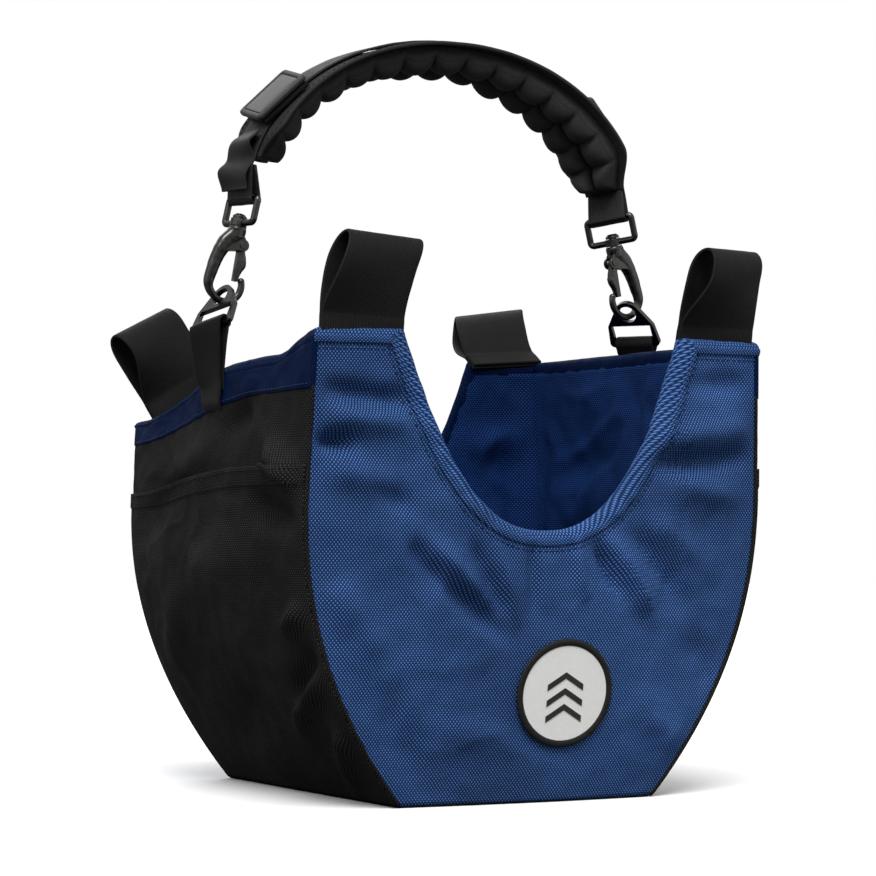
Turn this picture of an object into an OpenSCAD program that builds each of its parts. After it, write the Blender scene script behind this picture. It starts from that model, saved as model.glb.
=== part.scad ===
// Open-topped carry bag with a padded swing handle, in millimetres.
// Origin: centre of the flat bottom. X runs along the front panel, Y to the back, Z up.

/* [Bag] */
// Height of the corner peaks above the floor
wall_h = 263; // [250:1:280]
// Width of the bottom between its seams
base_w = 160; // [140:1:180]
// Width across the side gussets at the height where they stop flaring
mid_w = 288; // [270:1:300]
// Width at the peaks
top_w = 282; // [270:1:300]
// Height at which the gussets stop flaring
flare_h = 170; // [150:1:190]
// Front seam to the centre line at the bottom
base_front_d = 117; // [105:1:125]
// Front seam to the centre line at the peaks
top_front_d = 138; // [125:1:145]
// Back seam to the centre line at the bottom
base_back_d = 115; // [105:1:125]
// Back seam to the centre line at the peaks
top_back_d = 122; // [115:1:135]
// Lowest point of the U shaped scoop in the front and back rims
scoop_z = 153; // [130:1:180]
// Width of the scoop between the flat peaks
scoop_w = 182; // [160:1:190]
// How far the full front and back panels belly out at half height
belly = 8; // [2:1:12]
// How far the slack back left corner sags down
sag_down = 36; // [0:1:36]

/* [Walls] */
// Thickness of the woven outer fabric
fabric_t = 2; // [1.5:0.1:2.5]
// Thickness of the foam sheet
foam_t = 3; // [2:0.1:4]
// Thickness of the lining
lining_t = 1.5; // [1:0.1:2]
// Depth of the folded rim hem
hem_h = 9; // [6:0.5:12]
// Height of the seam below the blue yokes
yoke_z = 231; // [215:1:240]
// Height of the rim of the outside pockets
pocket_h = 189; // [150:1:200]
// How far the mouth of an outside pocket stands off
pocket_gap = 7; // [6:0.5:10]

/* [Corner loops] */
// Width of the webbing of the corner loops
loop_web_w = 50; // [40:1:50]
// Thickness of the loop webbing
loop_web_t = 2.2; // [1.5:0.1:2.5]
// Height of a loop above the rim
loop_h = 50; // [35:1:55]
// Width of the open eye of a loop
loop_gap = 15; // [12:1:18]

/* [Handle] */
// Width of the handle arch between the strap ends
arch_w = 239; // [230:1:245]
// Rise of the arch
arch_rise = 95; // [85:1:105]
// Height of the strap ends
arch_z = 341; // [335:1:350]
// Width of the handle webbing
web_w = 25; // [20:1:30]
// Thickness of the handle webbing
web_t = 1.8; // [1.5:0.1:2]
// Width of the shoulder pad
pad_w = 50; // [44:1:54]
// Number of sewn cells in each row of the pad
pad_cells = 15; // [10:1:18]
// Thickness of a pad cell at its crown
cell_h = 16; // [12:0.5:17]
// Twist of the strap at its left end, in degrees
left_twist = 10; // [0:1:15]
// Twist of the strap at its right end, in degrees
right_twist = 36; // [0:1:40]

/* [Hardware] */
// Distance of each ring eye from the middle of the bag
eye_x = 137; // [134:0.5:140]
// Height of the axis that the handle swings about
swing_z = 286; // [284:0.5:290]
// Inward lean of the snap hooks, in degrees
hook_lean = 13; // [8:1:16]
// Inward lean of the anchor rings, in degrees
ring_lean = 35; // [25:1:40]
// Thickness of the anchor rings
ring_t = 3; // [2.5:0.1:3.2]
// Radius of the curved bow of a snap hook
bow_r = 10; // [9:0.5:11]
// Diameter of the bow
bow_wire = 4; // [3.6:0.1:4.4]
// Diameter of the wire of the swivel loops
loop_wire = 4; // [3.4:0.1:4]

/* [Hidden] */

$fn = 48;

BLUE = [0.13, 0.22, 0.38];
NAVY = [0.05, 0.10, 0.22];
BLACK = [0.14, 0.14, 0.14];
WEB = [0.10, 0.10, 0.10];
NICKEL = [0.30, 0.30, 0.30];
STEEL = [0.60, 0.60, 0.62];
FOAM = [0.55, 0.55, 0.50];
BOARD = [0.25, 0.22, 0.20];
WHITE = [0.92, 0.92, 0.90];
GREY = [0.38, 0.38, 0.40];

LEFT = -1;
RIGHT = 1;

// Gap between layers and along seams
gap = 0.3;
seam = 0.15;
// Depth of each layer's two faces from the outer face of the wall
foam_in = fabric_t + gap;
lining_in = foam_in + foam_t + gap;
wall_t = lining_in + lining_t;
// Columns and rows of the wall grids, and the rows that the foam fills
wall_cols = 32;
wall_rows = 10;
foam_rows = 8;
side_cols = 10;
// Share of half the width that the scoop takes
scoop_c = scoop_w / top_w;
// Belly of the panels at the bottom and of the gussets
base_belly = 4;
side_belly = 1;
// Sideways and backward parts of the sag of the slack corner
sag_out = -3;
sag_back = 6;
// Depth of the dip in the left rim near its front and from its middle back
dip_front = 12.5;
dip_back = 6.5;

// ---------- Shared rules ----------

function mix(a, b, t) = a + (b - a) * t;
function clamp(v) = min(1, max(0, v));
function smooth(t) = let (c = clamp(t)) c * c * (3 - 2 * c);
function unit(v) = v / norm(v);

// A closed solid between two skins; point(u, v, k) has u and v in 0..1 and k = 0 or 1 for the skins
module skin_solid(point, nu, nv) {
    n = (nu + 1) * (nv + 1);
    points = [for (k = [0, 1], j = [0:nv], i = [0:nu]) point(i / nu, j / nv, k)];
    at = function(i, j, k) k * n + j * (nu + 1) + i;
    quad = function(a, b, c, d) [[a, c, b], [a, d, c]];
    faces = [
        for (j = [0:nv - 1], i = [0:nu - 1]) each concat(
            quad(at(i, j, 0), at(i + 1, j, 0), at(i + 1, j + 1, 0), at(i, j + 1, 0)),
            quad(at(i, j, 1), at(i, j + 1, 1), at(i + 1, j + 1, 1), at(i + 1, j, 1))
        ),
        for (i = [0:nu - 1]) each concat(
            quad(at(i, 0, 0), at(i, 0, 1), at(i + 1, 0, 1), at(i + 1, 0, 0)),
            quad(at(i, nv, 0), at(i + 1, nv, 0), at(i + 1, nv, 1), at(i, nv, 1))
        ),
        for (j = [0:nv - 1]) each concat(
            quad(at(0, j, 0), at(0, j + 1, 0), at(0, j + 1, 1), at(0, j, 1)),
            quad(at(nu, j, 0), at(nu, j, 1), at(nu, j + 1, 1), at(nu, j + 1, 0))
        )
    ];
    polyhedron(points, faces);
}

// A solid swept through a list of rings, each a list of the same number of points
module swept_solid(rings) {
    n = len(rings[0]);
    last = len(rings) - 1;
    faces = [
        for (j = [0:last - 1], i = [0:n - 1])
            let (a = j * n + i, b = j * n + (i + 1) % n) each [[a, b, b + n], [a, b + n, a + n]],
        for (i = [1:n - 2]) [0, i + 1, i],
        for (i = [1:n - 2]) [last * n, last * n + i, last * n + i + 1]
    ];
    polyhedron([for (r = rings) each r], faces);
}

// A flat ribbon through stations of [centre, direction across, direction of its thickness]
module ribbon(stations, width, thick) {
    swept_solid([
        for (s = stations) [
            for (q = [[-1, -1], [-1, 1], [1, 1], [1, -1]])
                s[0] + q[0] * width / 2 * s[1] + q[1] * thick / 2 * s[2]
        ]
    ]);
}

// Stations half round a bar at c, from angle a0 to a1 in the plane of x and z
function turn_stations(c, x, y, z, r, a0, a1, steps) = [
    for (i = [0:steps])
        let (a = mix(a0, a1, i / steps), out = cos(a) * x + sin(a) * z) [c + r * out, y, out]
];

// ---------- Shape of the bag ----------

function half_w(z) = z < flare_h
    ? mix(base_w / 2, mid_w / 2, 1 - pow(1 - z / flare_h, 2.2))
    : mix(mid_w / 2, top_w / 2, (z - flare_h) / (wall_h - flare_h));
function front_d(z) = mix(base_front_d, top_front_d, pow(z / wall_h, 0.8));
function back_d(z) = mix(base_back_d, top_back_d, z / wall_h);
function panel_belly(z) = base_belly + belly * sin(157 * z / wall_h);

// Height of the front and back rims at share c of the half width
function rim_z(c) = abs(c) < scoop_c
    ? scoop_z + (wall_h - scoop_z) * pow(abs(c) / scoop_c, 2.4)
    : wall_h;

// The slack back left corner leans out and drops, and the left rim dips between the front corner and it
function dip(y) = dip_front * smooth((y + 140) / 55) - (dip_front - dip_back) * smooth((y + 60) / 60);
function sag(p) =
    let (
        up = pow(clamp(p[2] / wall_h), 3),
        left = smooth((-2 * p[0] / top_w - 0.4) / 0.6),
        back = smooth((p[1] / top_back_d + 0.6) / 1.6),
        rim = smooth((p[2] - yoke_z + 6) / (wall_h - yoke_z + 6))
    )
    p + up * left * back * [-sag_out, sag_back, -sag_down] - left * rim * dip(p[1]) * [0, 0, 1];

// Points of the walls: c is -1..1 across the wall, off is the depth from its outer face
function front_at(c, z, off) =
    sag([c * (half_w(z) - off - seam), -(front_d(z) - off + panel_belly(z) * (1 - c * c)), z]);
function back_at(c, z, off) =
    sag([c * (half_w(z) - off - seam), back_d(z) - off + panel_belly(z) * (1 - c * c), z]);
function side_at(side, c, z, off) =
    sag([
        side * (half_w(z) - off + side_belly * (1 - c * c)),
        mix(-(front_d(z) - off - seam), back_d(z) - off - seam, (c + 1) / 2),
        z
    ]);

// Column positions with one on each corner of the scoop
function wall_c(u) = u < 0.125
    ? mix(-1, -scoop_c, u / 0.125)
    : u > 0.875 ? mix(scoop_c, 1, (u - 0.875) / 0.125) : mix(-scoop_c, scoop_c, (u - 0.125) / 0.75);

module wall_layer(wall, z0, off, thick, rows) {
    point = function(u, v, k)
        let (
            c = wall_c(u),
            z = mix(z0, rim_z(c) - hem_h - gap, v * rows / wall_rows),
            d = off + k * thick
        ) wall == "front" ? front_at(c, z, d) : back_at(-c, z, d);
    skin_solid(point, wall_cols, rows);
}

module wall_hem(wall) {
    point = function(u, v, k)
        let (c = wall_c(u), z = rim_z(c) - hem_h * (1 - v), d = k * wall_t)
        wall == "front" ? front_at(c, z, d) : back_at(-c, z, d);
    skin_solid(point, wall_cols, 1);
}

module side_layer(side, z0, z1, off, thick, rows) {
    point = function(u, v, k)
        side_at(side, side * (2 * u - 1), mix(z0, z1, v), off + k * thick);
    skin_solid(point, side_cols, rows);
}

// Outline of the bag at height z, moved in by inset
function outline(z, inset) =
    let (
        w = half_w(z) - inset,
        f = front_d(z) - inset,
        b = back_d(z) - inset,
        steps = 10
    ) [
        for (i = [0:steps]) let (c = 2 * i / steps - 1) [c * w, -f - base_belly * (1 - c * c)],
        for (i = [0:steps]) let (c = 1 - 2 * i / steps) [c * w, b + base_belly * (1 - c * c)]
    ];

module floor_sheet(z, inset, thick) {
    translate([0, 0, z]) linear_extrude(thick) polygon(outline(z, inset));
}

// ---------- Bag ----------

floor_top = fabric_t + gap;
lining_floor = floor_top + foam_t + gap;
side_top = wall_h - hem_h - gap;

module front_panel() { color(BLUE) wall_layer("front", floor_top, 0, fabric_t, wall_rows); }
module back_panel() { color(BLUE) wall_layer("back", floor_top, 0, fabric_t, wall_rows); }
module front_foam() { color(FOAM) wall_layer("front", floor_top, foam_in, foam_t, foam_rows); }
module back_foam() { color(FOAM) wall_layer("back", floor_top, foam_in, foam_t, foam_rows); }
module front_lining() {
    color(NAVY) wall_layer("front", lining_floor, lining_in, lining_t, wall_rows);
}
module back_lining() {
    color(NAVY) wall_layer("back", lining_floor, lining_in, lining_t, wall_rows);
}
module front_hem() { color(BLUE) wall_hem("front"); }
module back_hem() { color(BLUE) wall_hem("back"); }

module gusset(side) { color(BLACK) side_layer(side, floor_top, yoke_z, 0, fabric_t, wall_rows); }
module yoke(side) { color(BLUE) side_layer(side, yoke_z + gap, side_top, 0, fabric_t, 1); }
module side_foam(side) { color(FOAM) side_layer(side, floor_top, yoke_z, foam_in, foam_t, wall_rows); }
module side_lining(side) {
    color(NAVY) side_layer(side, lining_floor, side_top, lining_in, lining_t, wall_rows);
}
module side_hem(side) { color(BLUE) side_layer(side, wall_h - hem_h, wall_h, 0, wall_t, 1); }

// Outside pocket: a sheet that stands off the gusset towards its open rim
module pocket(side) {
    point = function(u, v, k)
        let (
            c = side * (2 * u - 1),
            z = mix(floor_top, pocket_h, v),
            edge = side_at(side, c, z, 0),
            off = gap + pocket_gap * sin(90 * v) * (1 - c * c) + (1 - k) * fabric_t
        ) edge + [side * off, 0, 0];
    color(BLACK) skin_solid(point, side_cols, wall_rows);
}

module bottom_panel() { color(BLACK) floor_sheet(0, 0, fabric_t); }
module bottom_board() { color(BOARD) floor_sheet(floor_top, lining_in + gap, foam_t); }
module bottom_lining() { color(NAVY) floor_sheet(lining_floor, wall_t + 2 * gap, lining_t); }

// Sewn tails of the corner loops, between the outer fabric and the lining
tail_h = 36;
tail_c = (scoop_w / 2 + 1) / (top_w / 2);
module loop_tails() {
    tail_top = wall_h - hem_h - 2 * gap;
    color(WEB) for (front = [true, false], side = [LEFT, RIGHT]) {
        point = function(u, v, k)
            let (
                c = side * mix(tail_c, 0.95, (side > 0) == front ? u : 1 - u),
                z = mix(tail_top - tail_h, tail_top, v),
                d = foam_in + k * (foam_t - gap)
            ) front ? front_at(c, z, d) : back_at(c, z, d);
        skin_solid(point, 6, 2);
    }
}

// Round patch on the front panel, set square to the fabric
patch_x = 15;
patch_z = 62;
patch_d = 62;
patch_rim = 4.2;
patch_t = 1.2;
module on_patch() {
    c = patch_x / half_w(patch_z);
    p = front_at(c, patch_z, 0);
    step = 0.05;
    across = unit(front_at(c + step, patch_z, 0) - front_at(c - step, patch_z, 0));
    up = unit(front_at(c, patch_z + 10, 0) - front_at(c, patch_z - 10, 0));
    out = unit(cross(across, up));
    top = cross(out, across);
    multmatrix([
        [across[0], top[0], out[0], p[0]],
        [across[1], top[1], out[1], p[1]],
        [across[2], top[2], out[2], p[2]],
        [0, 0, 0, 1]
    ]) children();
}
module patch_base() {
    color(BLACK) on_patch() translate([0, 0, 2 * gap]) difference() {
        cylinder(d = patch_d, h = patch_t);
        translate([0, 0, patch_t / 2]) cylinder(d = patch_d - 2 * patch_rim + gap, h = patch_t);
    }
}
module patch_face() {
    color(WHITE) on_patch() translate([0, 0, 2 * gap + patch_t / 2 + 0.05])
        cylinder(d = patch_d - 2 * patch_rim, h = patch_t / 2);
}

// ---------- Corner loops ----------

loop_r = loop_gap / 2 + loop_web_t;
foot_r = loop_web_t;
// Height of a loop's fold axis above the rim
fold_z = foot_r + 2 * gap;

// Drop shape of half width r, height h, narrow at the bottom and never narrower than least
function drop(r, h, least, z0) = [
    for (a = [0:10:350])
        let (x = r * sin(a) * pow(sin(a / 2), 1.5))
        [
            abs(x) < least && a < 90 ? least : abs(x) < least && a > 270 ? -least : x,
            z0 + h * (1 - cos(a)) / 2
        ]
];

module web_loop() {
    inner_z = 9;
    translate([-loop_web_w / 2, 0, 0]) rotate([90, 0, 90]) linear_extrude(loop_web_w) difference() {
        union() {
            circle(r = foot_r);
            polygon(drop(1.3 * loop_r, loop_h, foot_r, 0));
        }
        polygon(drop(1.3 * (loop_r - loop_web_t), loop_h - loop_web_t - inner_z, 0, inner_z));
    }
}

// Place of a corner loop: the fold axis lies along the top of its peak
loop_x = scoop_w / 2 + loop_web_w / 2;
module corner_loop(side, front, lean, roll, lift = 0) {
    c = side * loop_x / (top_w / 2);
    foot = front ? front_at(c, wall_h, wall_t / 2) : back_at(c, wall_h, wall_t / 2);
    color(WEB) translate(foot + [0, 0, fold_z + lift]) rotate([lean, roll, 0]) web_loop();
}

// Lean forwards or back and roll sideways of each loop at rest, in degrees. The rim under the back
// left loop is curved, so that loop's straight fold stands higher
module loop_front_left() { corner_loop(LEFT, true, 0, 0); }
module loop_front_right() { corner_loop(RIGHT, true, 8, 0); }
module loop_back_left() { corner_loop(LEFT, false, -10, -29, 5.5); }
module loop_back_right() { corner_loop(RIGHT, false, -56, 0); }

// ---------- Anchor rings and their webbing ----------

eye_hole_r = 5.6;
eye_r = 8.4;
eye_rise = 2;
slot_half = web_w / 2 + 0.4;
slot_top = -8.3;
slot_low = -20;
foot_x = 13.5;
foot_z = -20.5;
foot_round = 3;
shoulder_x = 12.2;
shoulder_z = -9.4;
bar_z = (slot_low + foot_z - foot_round) / 2;

// Turn of each ring about the vertical and its sideways tilt, in degrees
ring_yaw = [22, 36];
ring_tip = [-12, 0];
function ring_index(side) = side < 0 ? 0 : 1;

function rot_x(v, a) = [v[0], v[1] * cos(a) - v[2] * sin(a), v[1] * sin(a) + v[2] * cos(a)];
function rot_y(v, a) = [v[0] * cos(a) + v[2] * sin(a), v[1], -v[0] * sin(a) + v[2] * cos(a)];
function rot_z(v, a) = [v[0] * cos(a) - v[1] * sin(a), v[0] * sin(a) + v[1] * cos(a), v[2]];

// Directions and points in the frame of a ring, whose origin is the middle of its eye
function ring_dir(side, v) =
    let (i = ring_index(side))
    rot_z(rot_x(rot_y(v, -side * ring_lean), ring_tip[i]), ring_yaw[i]);
function ring_origin(side) = [side * eye_x, 0, swing_z + eye_rise];

// Slotted plate with sloping shoulders, flat in x and y and centred on its eye
module ring_plate() {
    difference() {
        linear_extrude(ring_t, center = true) hull() {
            circle(r = eye_r, $fn = 48);
            for (s = [LEFT, RIGHT], p = [[shoulder_x, shoulder_z], [foot_x, foot_z]])
                translate([s * p[0], p[1]]) circle(r = foot_round, $fn = 32);
        }
        cylinder(r = eye_hole_r, h = 2 * ring_t, center = true);
        translate([-slot_half, slot_low, -ring_t]) cube([2 * slot_half, slot_top - slot_low, 2 * ring_t]);
    }
}

module ring(side) {
    i = ring_index(side);
    color(NICKEL) translate(ring_origin(side))
        rotate([0, 0, ring_yaw[i]]) rotate([ring_tip[i], 0, 0]) rotate([0, -side * ring_lean, 0])
        rotate([90, 0, 90]) ring_plate();
}

// Webbing that comes up out of the yoke seam, turns over the ring's bar and comes back down
anchor_t = 2;
bar_clear = 2.6;
// Where each anchor web sits across its gusset, -1..1
anchor_c = [0, 0.12];
module anchor_web(side) {
    x = ring_dir(side, [side, 0, 0]);
    y = ring_dir(side, [0, 1, 0]);
    z = ring_dir(side, [0, 0, 1]);
    bar = ring_origin(side) + bar_z * z;
    r = bar_clear + anchor_t / 2;
    out = [side, 0, 0];
    along = [0, 1, 0];
    c = anchor_c[ring_index(side)];
    // Station on the outside of the gusset, standing off it and already turned by share t
    on_side = function(zz, off, t, flip)
        [side_at(side, c, zz, -off), unit(mix(along, y, t)), flip * unit(mix(out, x, t))];
    outer = [
        on_side(yoke_z + 2, gap + 1.6 * anchor_t, 0, 1),
        on_side(yoke_z + 12, gap + 1.7 * anchor_t, 0.05, 1),
        on_side(wall_h - 10, gap + 2.6 * anchor_t, 0.25, 1),
        on_side(wall_h + 1, gap + 3.9 * anchor_t, 0.6, 1)
    ];
    inner = [
        on_side(wall_h + 1, gap + 2.7 * anchor_t, 0.6, -1),
        on_side(wall_h - 10, gap + 1.5 * anchor_t, 0.25, -1),
        on_side(yoke_z + 12, gap + 0.6 * anchor_t, 0.05, -1)
    ];
    // Both plies leave the bar straight before they turn down to the gusset
    leg = 3.5;
    leg_out = [bar + r * x - leg * z, y, x];
    leg_in = [bar - r * x - leg * z, y, -x];
    turn = turn_stations(bar, x, y, z, r, 0, 180, 8);
    stations = concat(outer, [leg_out], turn, [leg_in], inner);
    color(WEB) ribbon([for (s = stations) [s[0], -side * s[1], s[2]]], web_w, anchor_t);
}

// ---------- Handle strap ----------

function arch_point(t) = [-arch_w / 2 * cos(t), 0, arch_z + arch_rise * sin(t)];
function arch_out(t) = unit([-2 * cos(t) / arch_w, 0, sin(t) / arch_rise]);
function arch_twist(t) = t < 90 ? left_twist * (1 - t / 90) : -right_twist * pow(t / 90 - 1, 1.3);
function strap_across(t) = cos(arch_twist(t)) * [0, 1, 0] + sin(arch_twist(t)) * arch_out(t);
function strap_out(t) = cos(arch_twist(t)) * arch_out(t) - sin(arch_twist(t)) * [0, 1, 0];
// A point of the strap at arch angle t, across its width and out from the middle of its thickness
function strap_at(t, across, out) = arch_point(t) + across * strap_across(t) + out * strap_out(t);

backing_low = 6.3;
backing_t = 1.9;
web_mid = backing_low + backing_t + gap + web_t / 2;
pad_from = 16;
pad_to = 168;
web_from = 12;
web_to = 169;
// Arch angle of the middle of each keeper, and its turn in the plane of the strap, in degrees
keeper_t = [37, 147];
keeper_skew = [-13, 0];

// Frame of the snap hook, whose origin is the lowest point of the middle of its bow
hook_yaw = 8;
function hook_dir(side, v) = rot_y(v, -side * hook_lean);
function hook_point(side, v) = [side * eye_x, 0, swing_z] + hook_dir(side, v);
swivel_yaw = [left_twist, right_twist];
low_bar_z = 47;
high_bar_z = 62;
function swivel_dir(side, v) = hook_dir(side, rot_z(v, swivel_yaw[ring_index(side)]));

function web_end(side) =
    let (
        x = swivel_dir(side, [side, 0, 0]),
        y = swivel_dir(side, [0, 1, 0]),
        z = swivel_dir(side, [0, 0, 1]),
        bar = hook_point(side, [0, 0, high_bar_z]),
        r = loop_wire / 2 + gap + web_t / 2
    ) turn_stations(bar, x, y, z, r, 0, -180, 8);

function reversed(list) = [for (i = [len(list) - 1:-1:0]) list[i]];

module strap_webbing() {
    inner_depth = web_mid - web_t - gap;
    tuck = 0.5;
    left_in = [strap_at(web_from + tuck, 0, inner_depth), strap_across(web_from), -strap_out(web_from)];
    right_in = [strap_at(web_to - tuck, 0, inner_depth), strap_across(web_to), -strap_out(web_to)];
    color(WEB) ribbon(concat(
        [left_in],
        reversed(web_end(LEFT)),
        [
            for (i = [0:40])
                let (t = mix(web_from, web_to, i / 40))
                [strap_at(t, 0, web_mid), strap_across(t), strap_out(t)]
        ],
        web_end(RIGHT),
        [right_in]
    ), web_w, web_t);
}

// Spare webbing that bunches in two folds below the left keeper
module strap_slack() {
    slack_from = 5;
    slack_to = keeper_t[0] - 13;
    folds = 2;
    fold_h = 3.2;
    color(WEB) ribbon([
        for (i = [0:16])
            let (u = i / 16, t = mix(slack_from, slack_to, u))
            [
                strap_at(t, 0, web_mid + web_t + gap + fold_h * (1 - cos(360 * folds * u))),
                strap_across(t),
                strap_out(t)
            ]
    ], web_w, web_t);
}

// Share of the pad's full width at angle t: it narrows towards the swivel loops
end_share = 0.54;
end_span = 13;
function pad_share(t) = mix(end_share, 1, smooth(min(t - pad_from, pad_to - t) / end_span));

module pad_backing() {
    steps = 36;
    across = [-0.5, -0.25, 0, 0.25, 0.5];
    high = [for (a = across) [a, backing_low + backing_t]];
    low = [for (a = reversed(across)) [a, backing_low]];
    color(BLACK) swept_solid([
        for (i = [0:steps])
            let (t = mix(pad_from, pad_to, i / steps), width = pad_w * pad_share(t))
            [for (q = concat(high, low)) strap_at(t, width * q[0], q[1])]
    ]);
}

// Bare edge of the backing beside each row of cells
flange_w = 7;
// Thickness of the pad at angle t: one crown for each cell
function pad_depth(t) =
    let (u = (t - pad_from) / (pad_to - pad_from), crown = pow(abs(sin(180 * pad_cells * u)), 0.6))
    mix(0.55, 1, crown) * cell_h;

module pad_row(a0, a1) {
    stations = 3 * pad_cells;
    sides = 9;
    top = backing_low - gap;
    color(BLACK) swept_solid([
        for (i = [0:stations])
            let (t = mix(pad_from, pad_to, i / stations))
            [for (k = [0:sides]) let (s = k / sides)
                strap_at(t, mix(a1, a0, s) * pad_share(t), top - pad_depth(t) * pow(sin(180 * s), 0.7))]
    ]);
}
module pad_row_front() { pad_row(flange_w - pad_w / 2, -gap); }
module pad_row_back() { pad_row(gap, pad_w / 2 - flange_w); }

// Frame on the strap: x along it, y across it, z out
module on_strap(t, out) {
    z = strap_out(t);
    y = strap_across(t);
    x = cross(y, z);
    p = strap_at(t, 0, out);
    multmatrix([
        [x[0], y[0], z[0], p[0]],
        [x[1], y[1], z[1], p[1]],
        [x[2], y[2], z[2], p[2]],
        [0, 0, 0, 1]
    ]) children();
}

plate_l = 38;
plate_w = 36;
plate_t = 3.4;
plate_frame = 3.5;
inset_t = 1.2;
// Rubber keeper: a channel that bridges the webbing, with a framed plate on its outside
keeper_wrap_t = 1.3;
keeper_low = backing_low + backing_t + 2 * gap;
keeper_high = web_mid + web_t / 2 + 2 * gap;
plate_out = keeper_high + keeper_wrap_t + gap;
module keeper_band(i) {
    length = plate_l - 4;
    half = plate_w / 2 - keeper_wrap_t;
    height = keeper_high - keeper_low;
    color(BLACK) on_strap(keeper_t[i], keeper_low) rotate([0, 0, keeper_skew[i]]) difference() {
        translate([-length / 2, -plate_w / 2, 0]) cube([length, plate_w, height + keeper_wrap_t]);
        translate([-length, -half, -height]) cube([2 * length, 2 * half, 2 * height]);
    }
}

module slab(l, w, h, r) {
    linear_extrude(h) union() {
        square([l - 2 * r, w], center = true);
        square([l, w - 2 * r], center = true);
        for (i = [LEFT, RIGHT], j = [LEFT, RIGHT])
            translate([i * (l / 2 - r), j * (w / 2 - r)]) circle(r = r);
    }
}
module keeper_plate(i) {
    color(BLACK) on_strap(keeper_t[i], plate_out) rotate([0, 0, keeper_skew[i]]) difference() {
        slab(plate_l, plate_w, plate_t, 3);
        translate([0, 0, plate_t - inset_t - gap])
            slab(plate_l - 2 * plate_frame, plate_w - 2 * plate_frame, plate_t, 2);
    }
}
module keeper_inset(i) {
    color(GREY) on_strap(keeper_t[i], plate_out + plate_t - inset_t - gap + 0.05)
        rotate([0, 0, keeper_skew[i]])
        slab(plate_l - 2 * plate_frame - gap, plate_w - 2 * plate_frame - gap, inset_t, 2);
}

// ---------- Swivel loops and snap hooks ----------

stud_r = 2.4;
stud_fit = 0.1;
boss_r = 5;
boss_h = 4.4;

module at_hook(side) {
    translate([side * eye_x, 0, swing_z]) rotate([0, -side * hook_lean, 0]) children();
}
// The same frame turned so that the hook opens inwards along +X
module at_hook_body(side) { at_hook(side) rotate([0, 0, side > 0 ? 180 + hook_yaw : 0]) children(); }

module rod(p, q, r) {
    d = q - p;
    translate(p) rotate([0, acos(d[2] / norm(d)), atan2(d[1], d[0])]) cylinder(r = r, h = norm(d));
}

module swivel_loop(side) {
    half = 15;
    corner = 2.2;
    r = loop_wire / 2;
    color(NICKEL) at_hook(side) rotate([0, 0, swivel_yaw[ring_index(side)]]) difference() {
        union() {
            for (z = [low_bar_z, high_bar_z]) rod([0, corner - half, z], [0, half - corner, z], r);
            for (s = [LEFT, RIGHT]) {
                rod([0, s * half, low_bar_z + corner], [0, s * half, high_bar_z - corner], r);
                translate([0, s * (half - corner), low_bar_z + corner])
                    rotate([90, 0, 90]) rotate([0, 0, s > 0 ? 270 : 180])
                    rotate_extrude(angle = 90) translate([corner, 0]) circle(r = r);
                translate([0, s * (half - corner), high_bar_z - corner])
                    rotate([90, 0, 90]) rotate([0, 0, s > 0 ? 0 : 90])
                    rotate_extrude(angle = 90) translate([corner, 0]) circle(r = r);
            }
            translate([0, 0, low_bar_z - boss_h / 2]) cylinder(r = boss_r, h = boss_h);
        }
        translate([0, 0, low_bar_z - boss_h]) cylinder(r = stud_r + stud_fit, h = 2 * boss_h);
    }
}

barrel_top = low_bar_z - boss_h / 2 - gap;
barrel_r = 5;
module swivel_stud(side) {
    head_z = low_bar_z + boss_h / 2 + gap;
    color(NICKEL) at_hook_body(side) union() {
        translate([0, 0, barrel_top]) cylinder(r = stud_r, h = head_z - barrel_top);
        translate([0, 0, head_z]) cylinder(r = 4.2, h = 1.4);
        translate([0, 0, head_z + 1.4]) cylinder(r1 = 4.2, r2 = 2.6, h = 1.4);
    }
}

pin_x = 4.5;
pin_z = 34.5;
pin_r = 1.25;
pin_fit = 0.05;
head_t = 7;
gate_slot = 4.4;
tip_angle = 25;
arm_r = 2.4;

module snap_hook(side) {
    wire_r = bow_wire / 2;
    shoulder = [-6.5, 0, 31.5];
    // Balls stand a little proud of the rods that they end, so that no two faces coincide
    tuck = 0.06;
    color(NICKEL) at_hook_body(side) difference() {
        union() {
            translate([0, 0, bow_r]) rotate([90, 180, 0])
                rotate_extrude(angle = 180 + tip_angle) translate([bow_r, 0]) circle(r = wire_r);
            translate([bow_r * cos(tip_angle), 0, bow_r * (1 + sin(tip_angle))]) sphere(r = wire_r + tuck);
            translate([-bow_r, 0, bow_r]) sphere(r = arm_r);
            rod([-bow_r, 0, bow_r], shoulder, arm_r - tuck);
            translate([0, head_t / 2, 0]) rotate([90, 0, 0]) linear_extrude(head_t) union() {
                translate([shoulder[0], shoulder[2]]) circle(r = 3);
                translate([pin_x, pin_z]) circle(r = 3.6);
                polygon([
                    [-8.8, 29.6], [-5.2, 28.8], [pin_x - 1, pin_z - 3.4], [pin_x + 1, pin_z + 3.4],
                    [4, 40], [-4, 40], [-9.2, 33]
                ]);
            }
            translate([0, 0, 38]) cylinder(r = barrel_r, h = barrel_top - 38);
        }
        translate([pin_x, 0, pin_z]) rotate([90, 0, 0]) cylinder(r = pin_r, h = 3 * head_t, center = true);
        translate([pin_x - 3.4, -gate_slot / 2, pin_z - 8]) cube([12, gate_slot, 11.5]);
    }
}

module gate_pin(side) {
    head = 0.5;
    color(STEEL) at_hook_body(side) translate([pin_x, 0, pin_z]) rotate([90, 0, 0]) union() {
        cylinder(r = pin_r, h = head_t, center = true);
        for (s = [LEFT, RIGHT])
            translate([0, 0, s * (head_t + head) / 2]) cylinder(r = 2.1, h = head, center = true);
    }
}

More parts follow.
